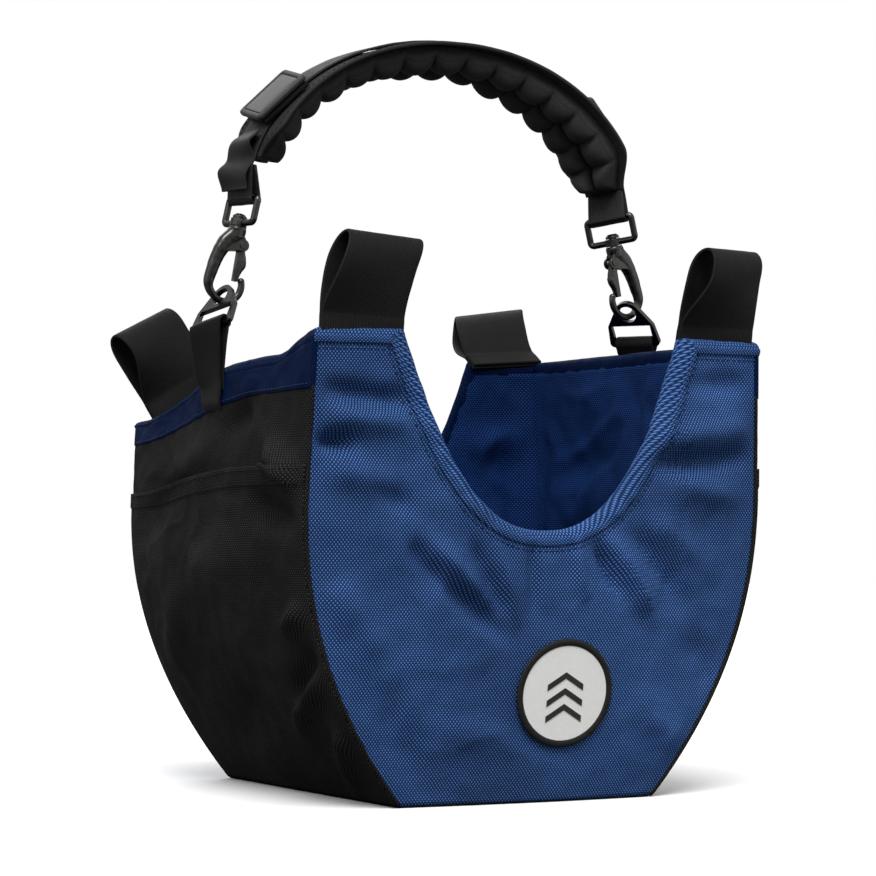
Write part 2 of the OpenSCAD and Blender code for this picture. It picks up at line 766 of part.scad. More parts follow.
// Gate that closes on the inside of the hook's tip
module gate(side) {
    hub_r = 2.7;
    hub_t = 2.5;
    gate_w = 2.8;
    reach_z = 13.4;
    gate_x = 5.1;
    color(NICKEL) at_hook_body(side) difference() {
        union() {
            translate([pin_x, 2.05, pin_z]) rotate([90, 0, 0]) cylinder(r = hub_r, h = hub_t);
            translate([0, 2.05, 0]) rotate([90, 0, 0]) linear_extrude(4.1) polygon([
                [pin_x - 1.6, pin_z - 4.6], [pin_x + 1.9, pin_z - 4.6],
                [gate_x + gate_w / 2, reach_z], [gate_x - gate_w / 2, reach_z]
            ]);
            translate([0, 2.05, 0]) rotate([90, 0, 0]) linear_extrude(hub_t) polygon([
                [pin_x - 2.2, pin_z], [pin_x + 2.2, pin_z],
                [pin_x + 1.9, pin_z - 5], [pin_x - 1.6, pin_z - 5]
            ]);
            translate([gate_x + 2.2, 2.05, 25]) rotate([90, 0, 0]) cylinder(r = 1.7, h = 4.1);
        }
        translate([pin_x, 0, pin_z])
            rotate([90, 0, 0]) cylinder(r = pin_r + pin_fit, h = 3 * head_t, center = true);
    }
}

// Two turns of spring wire beside the gate's hub
module gate_spring(side) {
    wire = 0.28;
    color(STEEL) at_hook_body(side) translate([pin_x, 0, pin_z]) for (i = [0, 1])
        translate([0, -1.1 - 0.7 * i, 0]) rotate([90, 0, 0])
        rotate_extrude() translate([1.9, 0]) circle(r = wire);
}

// ---------- Output ----------

front_panel();
back_panel();
gusset(LEFT);  // left_gusset
gusset(RIGHT);  // right_gusset
yoke(LEFT);  // left_yoke
yoke(RIGHT);  // right_yoke
pocket(LEFT);  // left_pocket
pocket(RIGHT);  // right_pocket
bottom_panel();
bottom_board();
bottom_lining();
front_lining();
back_lining();
side_lining(LEFT);  // left_lining
side_lining(RIGHT);  // right_lining
front_foam();
back_foam();
side_foam(LEFT);  // left_foam
side_foam(RIGHT);  // right_foam
front_hem();
back_hem();
side_hem(LEFT);  // left_hem
side_hem(RIGHT);  // right_hem
loop_tails();
patch_base();
patch_face();
anchor_web(LEFT);  // left_anchor_web
anchor_web(RIGHT);  // right_anchor_web
loop_front_left();
loop_front_right();
loop_back_left();
loop_back_right();
ring(LEFT);  // left_ring
ring(RIGHT);  // right_ring
strap_webbing();
strap_slack();
pad_backing();
pad_row_front();
pad_row_back();
keeper_band(0);  // left_keeper_band
keeper_band(1);  // right_keeper_band
keeper_plate(0);  // left_keeper_plate
keeper_plate(1);  // right_keeper_plate
keeper_inset(0);  // left_keeper_inset
keeper_inset(1);  // right_keeper_inset
swivel_loop(LEFT);  // left_swivel_loop
swivel_loop(RIGHT);  // right_swivel_loop
snap_hook(LEFT);  // left_hook
snap_hook(RIGHT);  // right_hook
swivel_stud(LEFT);  // left_swivel_stud
swivel_stud(RIGHT);  // right_swivel_stud
gate(LEFT);  // left_gate
gate(RIGHT);  // right_gate
gate_pin(LEFT);  // left_gate_pin
gate_pin(RIGHT);  // right_gate_pin
gate_spring(LEFT);  // left_gate_spring
gate_spring(RIGHT);  // right_gate_spring
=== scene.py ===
"""Looks of the open carry bag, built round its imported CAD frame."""
import math

import bpy
from mathutils import Matrix, Vector, noise


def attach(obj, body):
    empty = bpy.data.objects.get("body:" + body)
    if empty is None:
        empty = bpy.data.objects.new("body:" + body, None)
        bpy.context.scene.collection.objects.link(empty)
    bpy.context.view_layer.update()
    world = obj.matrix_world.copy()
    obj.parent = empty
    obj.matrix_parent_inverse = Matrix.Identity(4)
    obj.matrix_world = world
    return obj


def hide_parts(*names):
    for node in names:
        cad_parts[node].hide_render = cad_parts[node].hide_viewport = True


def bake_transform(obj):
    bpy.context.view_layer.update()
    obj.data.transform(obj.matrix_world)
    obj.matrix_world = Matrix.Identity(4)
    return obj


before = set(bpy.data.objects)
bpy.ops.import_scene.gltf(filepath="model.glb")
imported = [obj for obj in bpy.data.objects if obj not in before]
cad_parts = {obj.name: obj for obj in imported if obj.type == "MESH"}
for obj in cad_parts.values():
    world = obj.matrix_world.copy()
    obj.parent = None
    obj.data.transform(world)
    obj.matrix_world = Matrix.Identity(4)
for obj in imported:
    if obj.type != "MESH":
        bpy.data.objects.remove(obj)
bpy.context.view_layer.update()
MM = 0.001
LEFT, RIGHT = -1, 1
SIDES = ((LEFT, "left"), (RIGHT, "right"))


# ---------- Camera, floor and light ----------

VIEW_TURN = math.radians(27.2)
VIEW_DISTANCE = 1.8
VIEW_HEIGHT = 0.151
AIM_HEIGHT = 0.2086
AIM_RIGHT = 0.0036
LENS = 123.4
# Share of white that the surroundings and the floor throw on the object; the camera sees both as white
SURROUND = 0.52
FLOOR_BOUNCE = 0.12
FLOOR_HALF = 6
# Distant softboxes: the place each shines from, its spread in degrees and its strength
SUNS = {
    "key": ((-0.8, -1.5, 2.3), 32, 2.7),
    "fill": ((1.6, -1.2, 1.2), 70, 0.6),
    "side": ((-1.9, -0.4, 1.0), 60, 0.6),
    "back": ((0.4, 1.8, 1.6), 50, 0.7),
}


def make_camera():
    forward = Vector((math.sin(VIEW_TURN), math.cos(VIEW_TURN), 0))
    right = Vector((math.cos(VIEW_TURN), -math.sin(VIEW_TURN), 0))
    place = -VIEW_DISTANCE * forward + Vector((0, 0, VIEW_HEIGHT))
    aim = AIM_RIGHT * right + Vector((0, 0, AIM_HEIGHT))
    data = bpy.data.cameras.new("view")
    data.lens = LENS
    data.sensor_width = 36
    camera = stand_object("view", data)
    camera.location = place
    camera.rotation_euler = (aim - place).to_track_quat("-Z", "Y").to_euler()
    bpy.context.scene.camera = camera


def stand_object(name, data):
    item = bpy.data.objects.new(name, data)
    bpy.context.collection.objects.link(item)
    return item


def soft_sun(name, place, spread, strength):
    """A distant softbox that shines from place towards the object."""
    data = bpy.data.lights.new(name, "SUN")
    data.angle = math.radians(spread)
    data.energy = strength
    lamp = stand_object(name, data)
    lamp.location = place
    lamp.rotation_euler = (-Vector(place)).to_track_quat("-Z", "Y").to_euler()


def seen_or_lighting(tree, seen, lighting, socket):
    """Feed a socket one value where the camera sees the surface and another where it lights the object."""
    path = tree.nodes.new("ShaderNodeLightPath")
    level = tree.nodes.new("ShaderNodeMapRange")
    level.inputs["To Min"].default_value = lighting
    level.inputs["To Max"].default_value = seen
    tree.links.new(path.outputs["Is Camera Ray"], level.inputs["Value"])
    tree.links.new(level.outputs["Result"], socket)


def make_light():
    """White surroundings, of which the object itself is lit by a weaker share, and the soft suns."""
    world = bpy.data.worlds.new("studio")
    world.use_nodes = True
    back = world.node_tree.nodes["Background"]
    back.inputs["Color"].default_value = (1, 1, 1, 1)
    seen_or_lighting(world.node_tree, 1.0, SURROUND, back.inputs["Strength"])
    bpy.context.scene.world = world
    bpy.context.scene.view_settings.view_transform = "Standard"
    for name, (place, spread, strength) in SUNS.items():
        soft_sun(name, place, spread, strength)


def make_floor():
    mesh = bpy.data.meshes.new("floor")
    corners = [(x * FLOOR_HALF, y * FLOOR_HALF, 0) for x, y in ((-1, -1), (1, -1), (1, 1), (-1, 1))]
    mesh.from_pydata(corners, [], [(0, 1, 2, 3)])
    shade = bpy.data.materials.new("floor")
    shade.use_nodes = True
    surface = shade.node_tree.nodes["Principled BSDF"]
    seen_or_lighting(shade.node_tree, 0.99, FLOOR_BOUNCE, surface.inputs["Base Color"])
    surface.inputs["Roughness"].default_value = 0.9
    mesh.materials.append(shade)
    stand_object("floor", mesh)


make_camera()
make_light()
make_floor()


# ---------- Materials ----------

class Nodes:
    """A material's node tree with short calls for what the fabrics share."""

    def __init__(self, name):
        self.material = bpy.data.materials.new(name)
        self.material.use_nodes = True
        self.tree = self.material.node_tree
        self.surface = self.tree.nodes["Principled BSDF"]

    def new(self, kind, **settings):
        node = self.tree.nodes.new(kind)
        for key, value in settings.items():
            setattr(node, key, value)
        return node

    def join(self, source, target):
        self.tree.links.new(source, target)

    def put(self, value, socket):
        if isinstance(value, (int, float, tuple)):
            socket.default_value = value
        else:
            self.join(value, socket)

    def math(self, operation, a, b=None, c=None, clamp=False):
        node = self.new("ShaderNodeMath", operation=operation, use_clamp=clamp)
        for i, value in enumerate(v for v in (a, b, c) if v is not None):
            self.put(value, node.inputs[i])
        return node.outputs[0]

    def times(self, a, b, clamp=False):
        return self.math("MULTIPLY", a, b, clamp=clamp)

    def madd(self, a, b, c, clamp=False):
        return self.math("MULTIPLY_ADD", a, b, c, clamp)

    def crown(self, value, power):
        """Turns a wave into a row of rounded domes."""
        return self.math("POWER", self.math("ABSOLUTE", value), power)

    def ramp(self, value, low, high, to_low=0.0, to_high=1.0):
        node = self.new("ShaderNodeMapRange")
        node.interpolation_type = "SMOOTHSTEP"
        for key, v in (("Value", value), ("From Min", low), ("From Max", high),
                       ("To Min", to_low), ("To Max", to_high)):
            self.put(v, node.inputs[key])
        return node.outputs["Result"]

    def mix(self, factor, a, b, blend="MIX"):
        node = self.new("ShaderNodeMix", data_type="RGBA", blend_type=blend)
        self.put(factor, node.inputs[0])
        self.put(a, node.inputs[6])
        self.put(b, node.inputs[7])
        return node.outputs[2]

    def noise(self, scale, detail=3.0, vector=None, roughness=0.5):
        node = self.new("ShaderNodeTexNoise")
        node.inputs["Scale"].default_value = scale
        node.inputs["Detail"].default_value = detail
        node.inputs["Roughness"].default_value = roughness
        if vector is None:
            vector = self.new("ShaderNodeTexCoord").outputs["Object"]
        self.join(vector, node.inputs["Vector"])
        return node.outputs["Fac"]

    def cloth_axes(self):
        """The two directions of the cloth, in millimetres."""
        where = self.new("ShaderNodeUVMap", uv_map="cloth")
        split = self.new("ShaderNodeSeparateXYZ")
        self.join(where.outputs["UV"], split.inputs[0])
        return where.outputs["UV"], split.outputs[0], split.outputs[1]

    def bump(self, height, distance, strength=1.0, under=None):
        """Relief of distance metres, laid over the normal under where one is given."""
        node = self.new("ShaderNodeBump")
        node.inputs["Strength"].default_value = strength
        node.inputs["Distance"].default_value = distance
        self.join(height, node.inputs["Height"])
        if under is not None:
            self.join(under, node.inputs["Normal"])
        return node.outputs["Normal"]

    def finish(self, colour, roughness, normal=None, **constants):
        self.put(colour, self.surface.inputs["Base Color"])
        self.put(roughness, self.surface.inputs["Roughness"])
        if normal is not None:
            self.join(normal, self.surface.inputs["Normal"])
        for key, value in constants.items():
            self.surface.inputs[key.replace("_", " ")].default_value = value
        return self.material


def wave(n, value, pitch, shift=0.0):
    """A sine that crosses zero once every pitch millimetres."""
    return n.math("SINE", n.madd(value, math.pi / pitch, shift))


WARP_PITCH = 0.98
WEFT_PITCH = 1.27
CLOTH_SPECULAR = 0.04


def ballistic(name, dark, light, relief=0.00024, rough=0.62, patch=0.28):
    """Coarse plain weave of fat yarns: domes in a checkerboard, with painted highlight on the warp domes, a
    dimmer painted highlight on the weft domes and painted shade between them.
    """
    n = Nodes(name)
    _, u, v = n.cloth_axes()
    over = n.times(wave(n, u, WARP_PITCH), wave(n, v, WEFT_PITCH))
    dome = n.crown(over, 0.55)
    warp = n.ramp(over, -0.05, 0.12)
    grain = n.noise(900, 2)
    # Painted highlight on the tops of the warp domes and painted shade in the gaps between the yarns, both
    # from the dome height
    lit = n.times(n.times(warp, dome), n.madd(grain, 0.7, 0.65), clamp=True)
    weft = n.times(n.math("SUBTRACT", 1.0, warp), n.times(dome, 0.16))
    colour = n.mix(n.math("ADD", lit, weft, clamp=True), dark, light)
    worn = n.ramp(n.noise(9, 4), 0.3, 0.75, 1 - patch, 1 + 0.5 * patch)
    tone = n.new("ShaderNodeCombineColor")
    for channel in tone.inputs[:3]:
        n.join(worn, channel)
    colour = n.mix(1.0, colour, tone.outputs[0], "MULTIPLY")
    height = n.math("ADD", dome, n.times(warp, 0.35))
    soft = n.bump(n.noise(38, 4), 0.0016, 0.35)
    normal = n.bump(height, relief, 1.0, soft)
    roughness = n.madd(n.noise(60, 3), 0.2, rough - 0.1)
    return n.finish(colour, roughness, normal, Specular_IOR_Level=CLOTH_SPECULAR)


def webbing(name, dark, light, rib=1.5, rough=0.5):
    """Flat nylon webbing: narrow ribs along it, crossed by fine weft picks, with painted shade in the grooves
    and painted highlight on the rib tops.
    """
    n = Nodes(name)
    _, u, v = n.cloth_axes()
    rib_u = wave(n, u, rib)
    pick = wave(n, n.math("ADD", v, n.times(n.math("SIGN", rib_u), 0.35)), 0.7)
    ribs = n.crown(rib_u, 0.5)
    picks = n.madd(pick, 0.5, 0.5)
    height = n.times(ribs, n.madd(picks, 0.5, 0.5))
    fuzz = n.noise(700, 3)
    # The colour follows the rib and pick height: painted shade in the grooves, painted highlight on the tops
    tone = n.times(height, n.madd(fuzz, 0.8, 0.5), clamp=True)
    colour = n.mix(tone, dark, light)
    soft = n.bump(n.noise(45, 3), 0.0012, 0.3)
    normal = n.bump(height, 0.00014, 0.9, soft)
    roughness = n.madd(n.noise(90, 3), 0.2, rough - 0.1)
    return n.finish(colour, roughness, normal, Specular_IOR_Level=0.07)


def knit(name, dark, light):
    """Fine knitted pad cover with a soft nap, and painted shade between its loops."""
    n = Nodes(name)
    _, u, v = n.cloth_axes()
    row = wave(n, v, 0.55)
    loop = wave(n, n.math("ADD", u, n.times(row, 0.2)), 0.5)
    height = n.madd(n.times(row, loop), 0.5, 0.5)
    nap = n.noise(1100, 2)
    # Random nap tone, plus painted shade between the knitted loops taken from their height
    tone = n.madd(nap, 0.6, n.times(height, 0.4), clamp=True)
    colour = n.mix(tone, dark, light)
    normal = n.bump(height, 0.0001, 0.8, n.bump(n.noise(70, 3), 0.0014, 0.4))
    return n.finish(colour, n.madd(nap, 0.15, 0.6), normal, Specular_IOR_Level=0.08,
                    Sheen_Weight=0.01, Sheen_Roughness=0.5)


def thread(name, dark, light):
    """Twisted sewing thread."""
    n = Nodes(name)
    twist = n.noise(2500, 2)
    colour = n.mix(twist, dark, light)
    return n.finish(colour, n.madd(twist, 0.2, 0.45), n.bump(twist, 0.0001, 0.6),
                    Specular_IOR_Level=0.2)


def embroidery(name, dark, light, pitch=0.45):
    """Satin stitches lying side by side, with painted shade between them and painted highlight on their
    crowns.
    """
    n = Nodes(name)
    _, u, v = n.cloth_axes()
    lay = n.math("ADD", v, n.times(u, 0.25))
    strand = n.crown(wave(n, lay, pitch), 0.6)
    broken = n.noise(500, 3)
    # The colour follows the stitch crowns: painted shade between the stitches, painted highlight on their
    # tops
    tone = n.times(strand, n.madd(broken, 0.6, 0.6), clamp=True)
    colour = n.mix(tone, dark, light)
    normal = n.bump(strand, 0.00012, 0.8, n.bump(broken, 0.0003, 0.3))
    return n.finish(colour, n.madd(broken, 0.2, 0.45), normal, Specular_IOR_Level=0.2)


def plated(name, colour, rough=0.24):
    """Plating over a zinc casting: faint pits, soft edges, and scuffs rubbed lighter."""
    n = Nodes(name)
    pits = n.noise(420, 4)
    scuff = n.ramp(n.noise(120, 6, roughness=0.7), 0.52, 0.72)
    edge = n.new("ShaderNodeBevel", samples=4)
    edge.inputs["Radius"].default_value = 0.0006
    light = tuple(min(1.0, c * 2.2) for c in colour[:3]) + (1.0,)
    tone = n.mix(n.times(scuff, 0.35), colour, light)
    normal = n.bump(pits, 0.00012, 0.35, edge.outputs[0])
    return n.finish(tone, n.madd(scuff, 0.22, rough), normal, Metallic=1.0)


def moulded(name, dark, light, rough=0.55):
    """Moulded rubber or plastic with a fine spark texture."""
    n = Nodes(name)
    grain = n.noise(1600, 2)
    dull = n.noise(50, 4)
    colour = n.mix(dull, dark, light)
    normal = n.bump(grain, 0.00008, 0.5, n.bump(dull, 0.0004, 0.15))
    return n.finish(colour, n.madd(dull, 0.2, rough - 0.1), normal)


def glossy(name, dark, light):
    """Smooth panel with a few fine scratches."""
    n = Nodes(name)
    dull = n.noise(35, 4)
    scratch = n.ramp(n.noise(260, 8, roughness=0.8), 0.62, 0.8)
    colour = n.mix(dull, dark, light)
    return n.finish(colour, n.madd(scratch, 0.3, 0.38), n.bump(scratch, 0.00003, 0.3),
                    Specular_IOR_Level=0.2)


def foam_skin(name, dark, light):
    """Cut foam with its open cells."""
    n = Nodes(name)
    cells = n.new("ShaderNodeTexVoronoi")
    cells.inputs["Scale"].default_value = 900
    n.join(n.new("ShaderNodeTexCoord").outputs["Object"], cells.inputs["Vector"])
    gap = cells.outputs["Distance"]
    return n.finish(n.mix(gap, light, dark), 0.85, n.bump(gap, 0.0002, 0.5))


def grey(value):
    """A grey very slightly on the warm side."""
    return value, value, value * 0.97, 1


# Each woven, knitted or embroidered fabric goes from painted shade between its threads to painted highlight
# on their tops
BLUE = ballistic("blue_ballistic", (0.0004, 0.0045, 0.034, 1), (0.105, 0.245, 0.62, 1))
YOKE = ballistic("yoke_weave", (0.0004, 0.004, 0.024, 1), (0.003, 0.017, 0.078, 1), relief=0.0001, patch=0.15)
# The lining is a darker copy of the blue weave: painted shade for the inside of the bag
SHADED_LINING = ballistic("lining_weave_shaded", (0.0004, 0.007, 0.046, 1), (0.022, 0.075, 0.27, 1), rough=0.7)
BLACK = ballistic("black_ballistic", grey(0.003), grey(0.044), relief=0.0002, rough=0.66)
WEB = webbing("black_webbing", grey(0.002), grey(0.017))
STRAP = webbing("strap_webbing", grey(0.004), grey(0.038))
PAD = knit("pad_knit", grey(0.006), grey(0.046))
BLUE_THREAD = thread("blue_thread", (0.002, 0.010, 0.045, 1), (0.02, 0.05, 0.15, 1))
BLACK_THREAD = thread("black_thread", grey(0.002), grey(0.010))
NICKEL = plated("black_nickel", (0.06, 0.06, 0.058, 1))
STEEL = plated("pin_steel", (0.32, 0.32, 0.33, 1), 0.3)
RUBBER = moulded("keeper_rubber", grey(0.006), grey(0.012))
BAND = webbing("keeper_band", grey(0.003), grey(0.010), rib=0.8, rough=0.6)
INSET = glossy("grey_inset", (0.018, 0.0175, 0.018, 1), (0.028, 0.027, 0.028, 1))
BORDER = embroidery("patch_border", grey(0.003), grey(0.014), 0.55)
FACE = embroidery("patch_face", (0.68, 0.68, 0.665, 1), (0.90, 0.90, 0.88, 1), 0.4)
MARK = embroidery("patch_mark", grey(0.01), grey(0.035), 0.4)
BOARD = moulded("base_board", grey(0.01), grey(0.03), 0.7)
FOAM = foam_skin("foam_sheet", grey(0.2), grey(0.34))


# ---------- Shape of the bag, as in its CAD design ----------

PEAK_Z = 263.0
BASE_W, MID_W, TOP_W = 160.0, 288.0, 282.0
FLARE_H = 170.0
BASE_FRONT, TOP_FRONT = 117.0, 138.0
BASE_BACK, TOP_BACK = 115.0, 122.0
SCOOP_Z, SCOOP_W = 153.0, 182.0
BELLY, BASE_BELLY, SIDE_BELLY = 8.0, 4.0, 1.0
SAG_DOWN, SAG_OUT, SAG_BACK = 36.0, -3.0, 6.0
WALL_T = 7.1
HEM = 5.0
YOKE_Z = 231.0
POCKET_H, POCKET_GAP, POCKET_HEM = 189.0, 7.0, 12.0
SCOOP_C = SCOOP_W / TOP_W
PATCH_X, PATCH_Z, PATCH_R, PATCH_RIM = 15.0, 62.0, 31.0, 4.2


def lumps(x, y, z):
    """Smooth noise between about -1 and 1."""
    return noise.noise(Vector((x, y, z)))


def mix(a, b, t):
    return a + (b - a) * t


def turned(axis, degrees):
    return Matrix.Rotation(math.radians(degrees), 3, axis)


def clamp(v, low=0.0, high=1.0):
    return max(low, min(high, v))


def smooth(t):
    c = clamp(t)
    return c * c * (3 - 2 * c)


def half_w(z):
    if z < FLARE_H:
        return mix(BASE_W, MID_W, 1 - (1 - z / FLARE_H) ** 2.2) / 2
    return mix(MID_W, TOP_W, (z - FLARE_H) / (PEAK_Z - FLARE_H)) / 2


def front_d(z):
    return mix(BASE_FRONT, TOP_FRONT, max(0.0, z / PEAK_Z) ** 0.8)


def back_d(z):
    return mix(BASE_BACK, TOP_BACK, z / PEAK_Z)


def panel_belly(z):
    return BASE_BELLY + BELLY * math.sin(math.radians(157 * z / PEAK_Z))


def rim_z(c):
    a = abs(c)
    return SCOOP_Z + (PEAK_Z - SCOOP_Z) * (a / SCOOP_C) ** 2.4 if a < SCOOP_C else PEAK_Z


def sag(p):
    """The lean and dip of the empty bag's back left corner, the same as in the CAD solids."""
    up = clamp(p.z / PEAK_Z) ** 3
    left = smooth((-2 * p.x / TOP_W - 0.4) / 0.6)
    back = smooth((p.y / TOP_BACK + 0.6) / 1.6)
    rim = smooth((p.z - YOKE_Z + 6) / (PEAK_Z - YOKE_Z + 6))
    dip = 12.5 * smooth((p.y + 140) / 55) - 6 * smooth((p.y + 60) / 60)
    return p + up * left * back * Vector((-SAG_OUT, SAG_BACK, -SAG_DOWN)) - Vector((0, 0, left * rim * dip))


def ridge(x, z, a, b, width, height, taper=0.5):
    """Height at (x, z) of a fold that runs from a to b and fades at its ends."""
    ax, az = a
    dx, dz = b[0] - ax, b[1] - az
    length2 = dx * dx + dz * dz
    t = ((x - ax) * dx + (z - az) * dz) / length2
    c = clamp(t)
    off = math.hypot(x - ax - c * dx, z - az - c * dz)
    fade = smooth(min(c, 1 - c) / taper + 0.25) if 0 < t < 1 else 0.16
    return height * fade * math.exp(-(off / width) ** 2)


FOLD_GAIN = 2.3
# Folds of the front panel: start, end, width and height, out of the panel where positive
FRONT_FOLDS = [
    ((-86, 148), (-62, 122), 6, -2.6), ((-66, 128), (-22, 92), 6, -2.8), ((-72, 148), (-40, 114), 6, 2.6),
    ((-50, 152), (-24, 104), 4, -2.0), ((-34, 150), (-16, 98), 4, 1.8), ((-10, 148), (-6, 104), 4, -1.8),
    ((18, 150), (24, 112), 4, 1.8), ((30, 149), (50, 114), 4, -2.8), ((38, 152), (74, 100), 5, 2.6),
    ((52, 158), (92, 112), 6, -2.2), ((60, 166), (112, 128), 8, 2.0),
    ((-140, 230), (-80, 222), 6, -3.4), ((-140, 216), (-84, 210), 8, 3.0),
    ((-144, 201), (-116, 201), 5, -4.4), ((-134, 190), (-90, 172), 9, 2.6),
    ((-112, 178), (-80, 164), 6, -2.0),
    ((66, 190), (144, 197), 6, -3.6), ((70, 204), (142, 214), 9, 2.6), ((74, 180), (134, 172), 8, 2.4),
    ((88, 236), (138, 238), 7, -1.8), ((-130, 126), (-92, 80), 10, 2.0), ((96, 96), (124, 56), 10, -1.8),
    ((-64, 44), (20, 30), 10, 1.5), ((60, 60), (110, 20), 9, 1.6), ((-100, 70), (-70, 14), 9, -1.6),
]
BACK_FOLDS = [
    ((-80, 152), (-44, 104), 8, -2.4), ((-40, 150), (-20, 98), 6, 1.8), ((-4, 148), (4, 96), 6, -1.6),
    ((34, 150), (58, 104), 7, 2.0), ((60, 164), (100, 120), 9, -2.0), ((-134, 214), (-86, 200), 9, -2.4),
    ((84, 206), (134, 214), 9, -2.2), ((-120, 150), (-90, 96), 12, 1.6), ((90, 100), (118, 60), 12, 1.4),
]
# Folds of the gussets: across the gusset from front to back, and up
LEFT_FOLDS = [
    ((-132, 176), (-80, 200), 8, 4.2), ((-128, 156), (-66, 170), 9, -3.2), ((-124, 112), (-92, 94), 6, 3.2),
    ((-126, 92), (-76, 58), 7, -3.4), ((-122, 78), (-56, 36), 6, 3.4), ((-116, 46), (-78, 8), 6, 3.0),
    ((-20, 208), (60, 196), 12, 2.0), ((30, 190), (100, 160), 14, -2.2), ((40, 120), (96, 60), 14, 2.4),
    ((-60, 140), (20, 130), 16, 1.8), ((-30, 60), (50, 30), 14, -1.8), ((-66, 222), (-20, 214), 9, -2.0),
]
RIGHT_FOLDS = [
    ((-110, 190), (-40, 176), 12, -2.0), ((0, 200), (90, 186), 12, 2.0), ((-90, 120), (-30, 80), 14, 2.2),
    ((20, 140), (90, 90), 14, -2.2), ((-60, 60), (40, 40), 12, 1.8), ((40, 60), (100, 20), 12, 1.6),
]


def folds(table, x, z, edge):
    """Relief of a wall at (x, z), which dies away at its sewn edges."""
    total = FOLD_GAIN * sum(ridge(x, z, *fold) for fold in table)
    ripple = 2.2 * lumps(x * 0.022, z * 0.022, 3.1)
    crease = abs(lumps(x * 0.03 + z * 0.012, z * 0.034 - x * 0.01, 5.3))
    crumple = 1.1 * lumps(x * 0.07, z * 0.07, 7.7) + 2.6 * (0.22 - min(crease, 0.22))
    return (total + ripple + crumple) * smooth(edge / 14)


def wall_at(wall, x, z, off, folded=True):
    """Point of the front or back wall at (x, z), off in from its outer face."""
    sign, depth, table = (-1, front_d, FRONT_FOLDS) if wall == "front" else (1, back_d, BACK_FOLDS)
    c = clamp(x / half_w(z), -1, 1)
    y = depth(z) - off + panel_belly(z) * (1 - c * c)
    if folded:
        relief = folds(table, x, z, min(half_w(z) - abs(x), z + 4))
        if wall == "front":
            # The patch keeps the cloth under it flat
            relief *= smooth((math.hypot(x - PATCH_X, z - PATCH_Z) - PATCH_R - 1) / 16)
        y += relief
    return sag(Vector((c * (half_w(z) - off), sign * y, z)))


def side_at(side, c, z, off, pocket=0.0):
    """Point of a gusset at height z and share c from its front edge (-1) to its back edge (1)."""
    y = mix(-(front_d(z) - off), back_d(z) - off, (c + 1) / 2)
    relief = folds(LEFT_FOLDS if side < 0 else RIGHT_FOLDS, y, z, min((1 - abs(c)) * 120, z + 4))
    x = side * (half_w(z) - off + SIDE_BELLY * (1 - c * c) + relief + pocket)
    return sag(Vector((x, y, z)))


def climb_table(step=1.0):
    """Length of cloth up the gusset from the floor, at every step of height."""
    lengths = [0.0]
    z = 0.0
    while z < PEAK_Z + 5:
        lengths.append(lengths[-1] + math.hypot(step, half_w(z + step) - half_w(z)))
        z += step
    return lengths


CLIMB = climb_table()


def climb(z):
    i = int(clamp(z, 0, PEAK_Z + 3))
    return mix(CLIMB[i], CLIMB[i + 1], clamp(z, 0, PEAK_Z + 3) - i)


# ---------- Mesh makers ----------

def round_steps(count):
    """Cosine and sine at count equal steps round a circle."""
    angles = [2 * math.pi * i / count for i in range(count)]
    return [(math.cos(a), math.sin(a)) for a in angles]


def build(name, points, faces, uvs, material, body, replaced=(), smooth_shade=True):
    """A mesh object from points in millimetres, riding on a body. uvs has one pair per point."""
    mesh = bpy.data.meshes.new(name)
    mesh.from_pydata([p * MM for p in points], [], faces)
    layer = mesh.uv_layers.new(name="cloth")
    for loop in mesh.loops:
        layer.data[loop.index].uv = uvs[loop.vertex_index]
    mesh.materials.append(material)
    if smooth_shade:
        mesh.shade_smooth()
    piece = stand_object(name, mesh)
    if body:
        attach(piece, body)
    if replaced:
        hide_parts(*replaced)
    return piece


def sheet_grid(name, point, nu, nv, uv, material, replaced, thickness, flip):
    """Sheet of cloth on the bag through point(u, v), thickened inwards; flip turns its faces round."""
    places = [(i / nu, j / nv) for j in range(nv + 1) for i in range(nu + 1)]
    faces = []
    for j in range(nv):
        for i in range(nu):
            a = j * (nu + 1) + i
            face = (a, a + 1, a + nu + 2, a + nu + 1)
            faces.append(face[::-1] if flip else face)
    piece = build(name, [point(*p) for p in places], faces, [uv(*p) for p in places], material, "bag",
                  replaced)
    if thickness:
        solid = piece.modifiers.new("cloth", "SOLIDIFY")
        solid.thickness = thickness * MM
        solid.offset = -1.0
        solid.use_even_offset = False
        solid.use_rim = True


def swept(name, sections, material, body, replaced=(), closed=False):
    """A tube through sections, each a list of (point, uv); closed joins its two ends."""
    n, count = len(sections[0]), len(sections)
    points, uvs = zip(*(pair for section in sections for pair in section))
    faces = []
    for j in range(count if closed else count - 1):
        k = (j + 1) % count
        for i in range(n):
            m = (i + 1) % n
            faces.append((j * n + i, j * n + m, k * n + m, k * n + i))
    if not closed:
        faces.append(tuple(range(n))[::-1])
        faces.append(tuple((count - 1) * n + i for i in range(n)))
    return build(name, points, faces, uvs, material, body, replaced)


def ribbon_profile(width, thick, edge=4):
    """Cross-section of webbing: flat faces and selvedges rounded over."""
    r = thick / 2
    half = width / 2 - r
    profile = []
    for side in (1, -1):
        for i in range(edge + 1):
            a = math.pi * i / edge - math.pi / 2 if side > 0 else math.pi * i / edge + math.pi / 2
            profile.append((side * half + r * math.cos(a), r * math.sin(a)))
    return profile


def subdivided(profile, steps):
    """The profile with extra points along its two long flats."""
    out = []
    n = len(profile)
    for i, p in enumerate(profile):
        out.append(p)
        q = profile[(i + 1) % n]
        if math.hypot(q[0] - p[0], q[1] - p[1]) > 5:
            out += [(mix(p[0], q[0], k / steps), mix(p[1], q[1], k / steps)) for k in range(1, steps)]
    return out


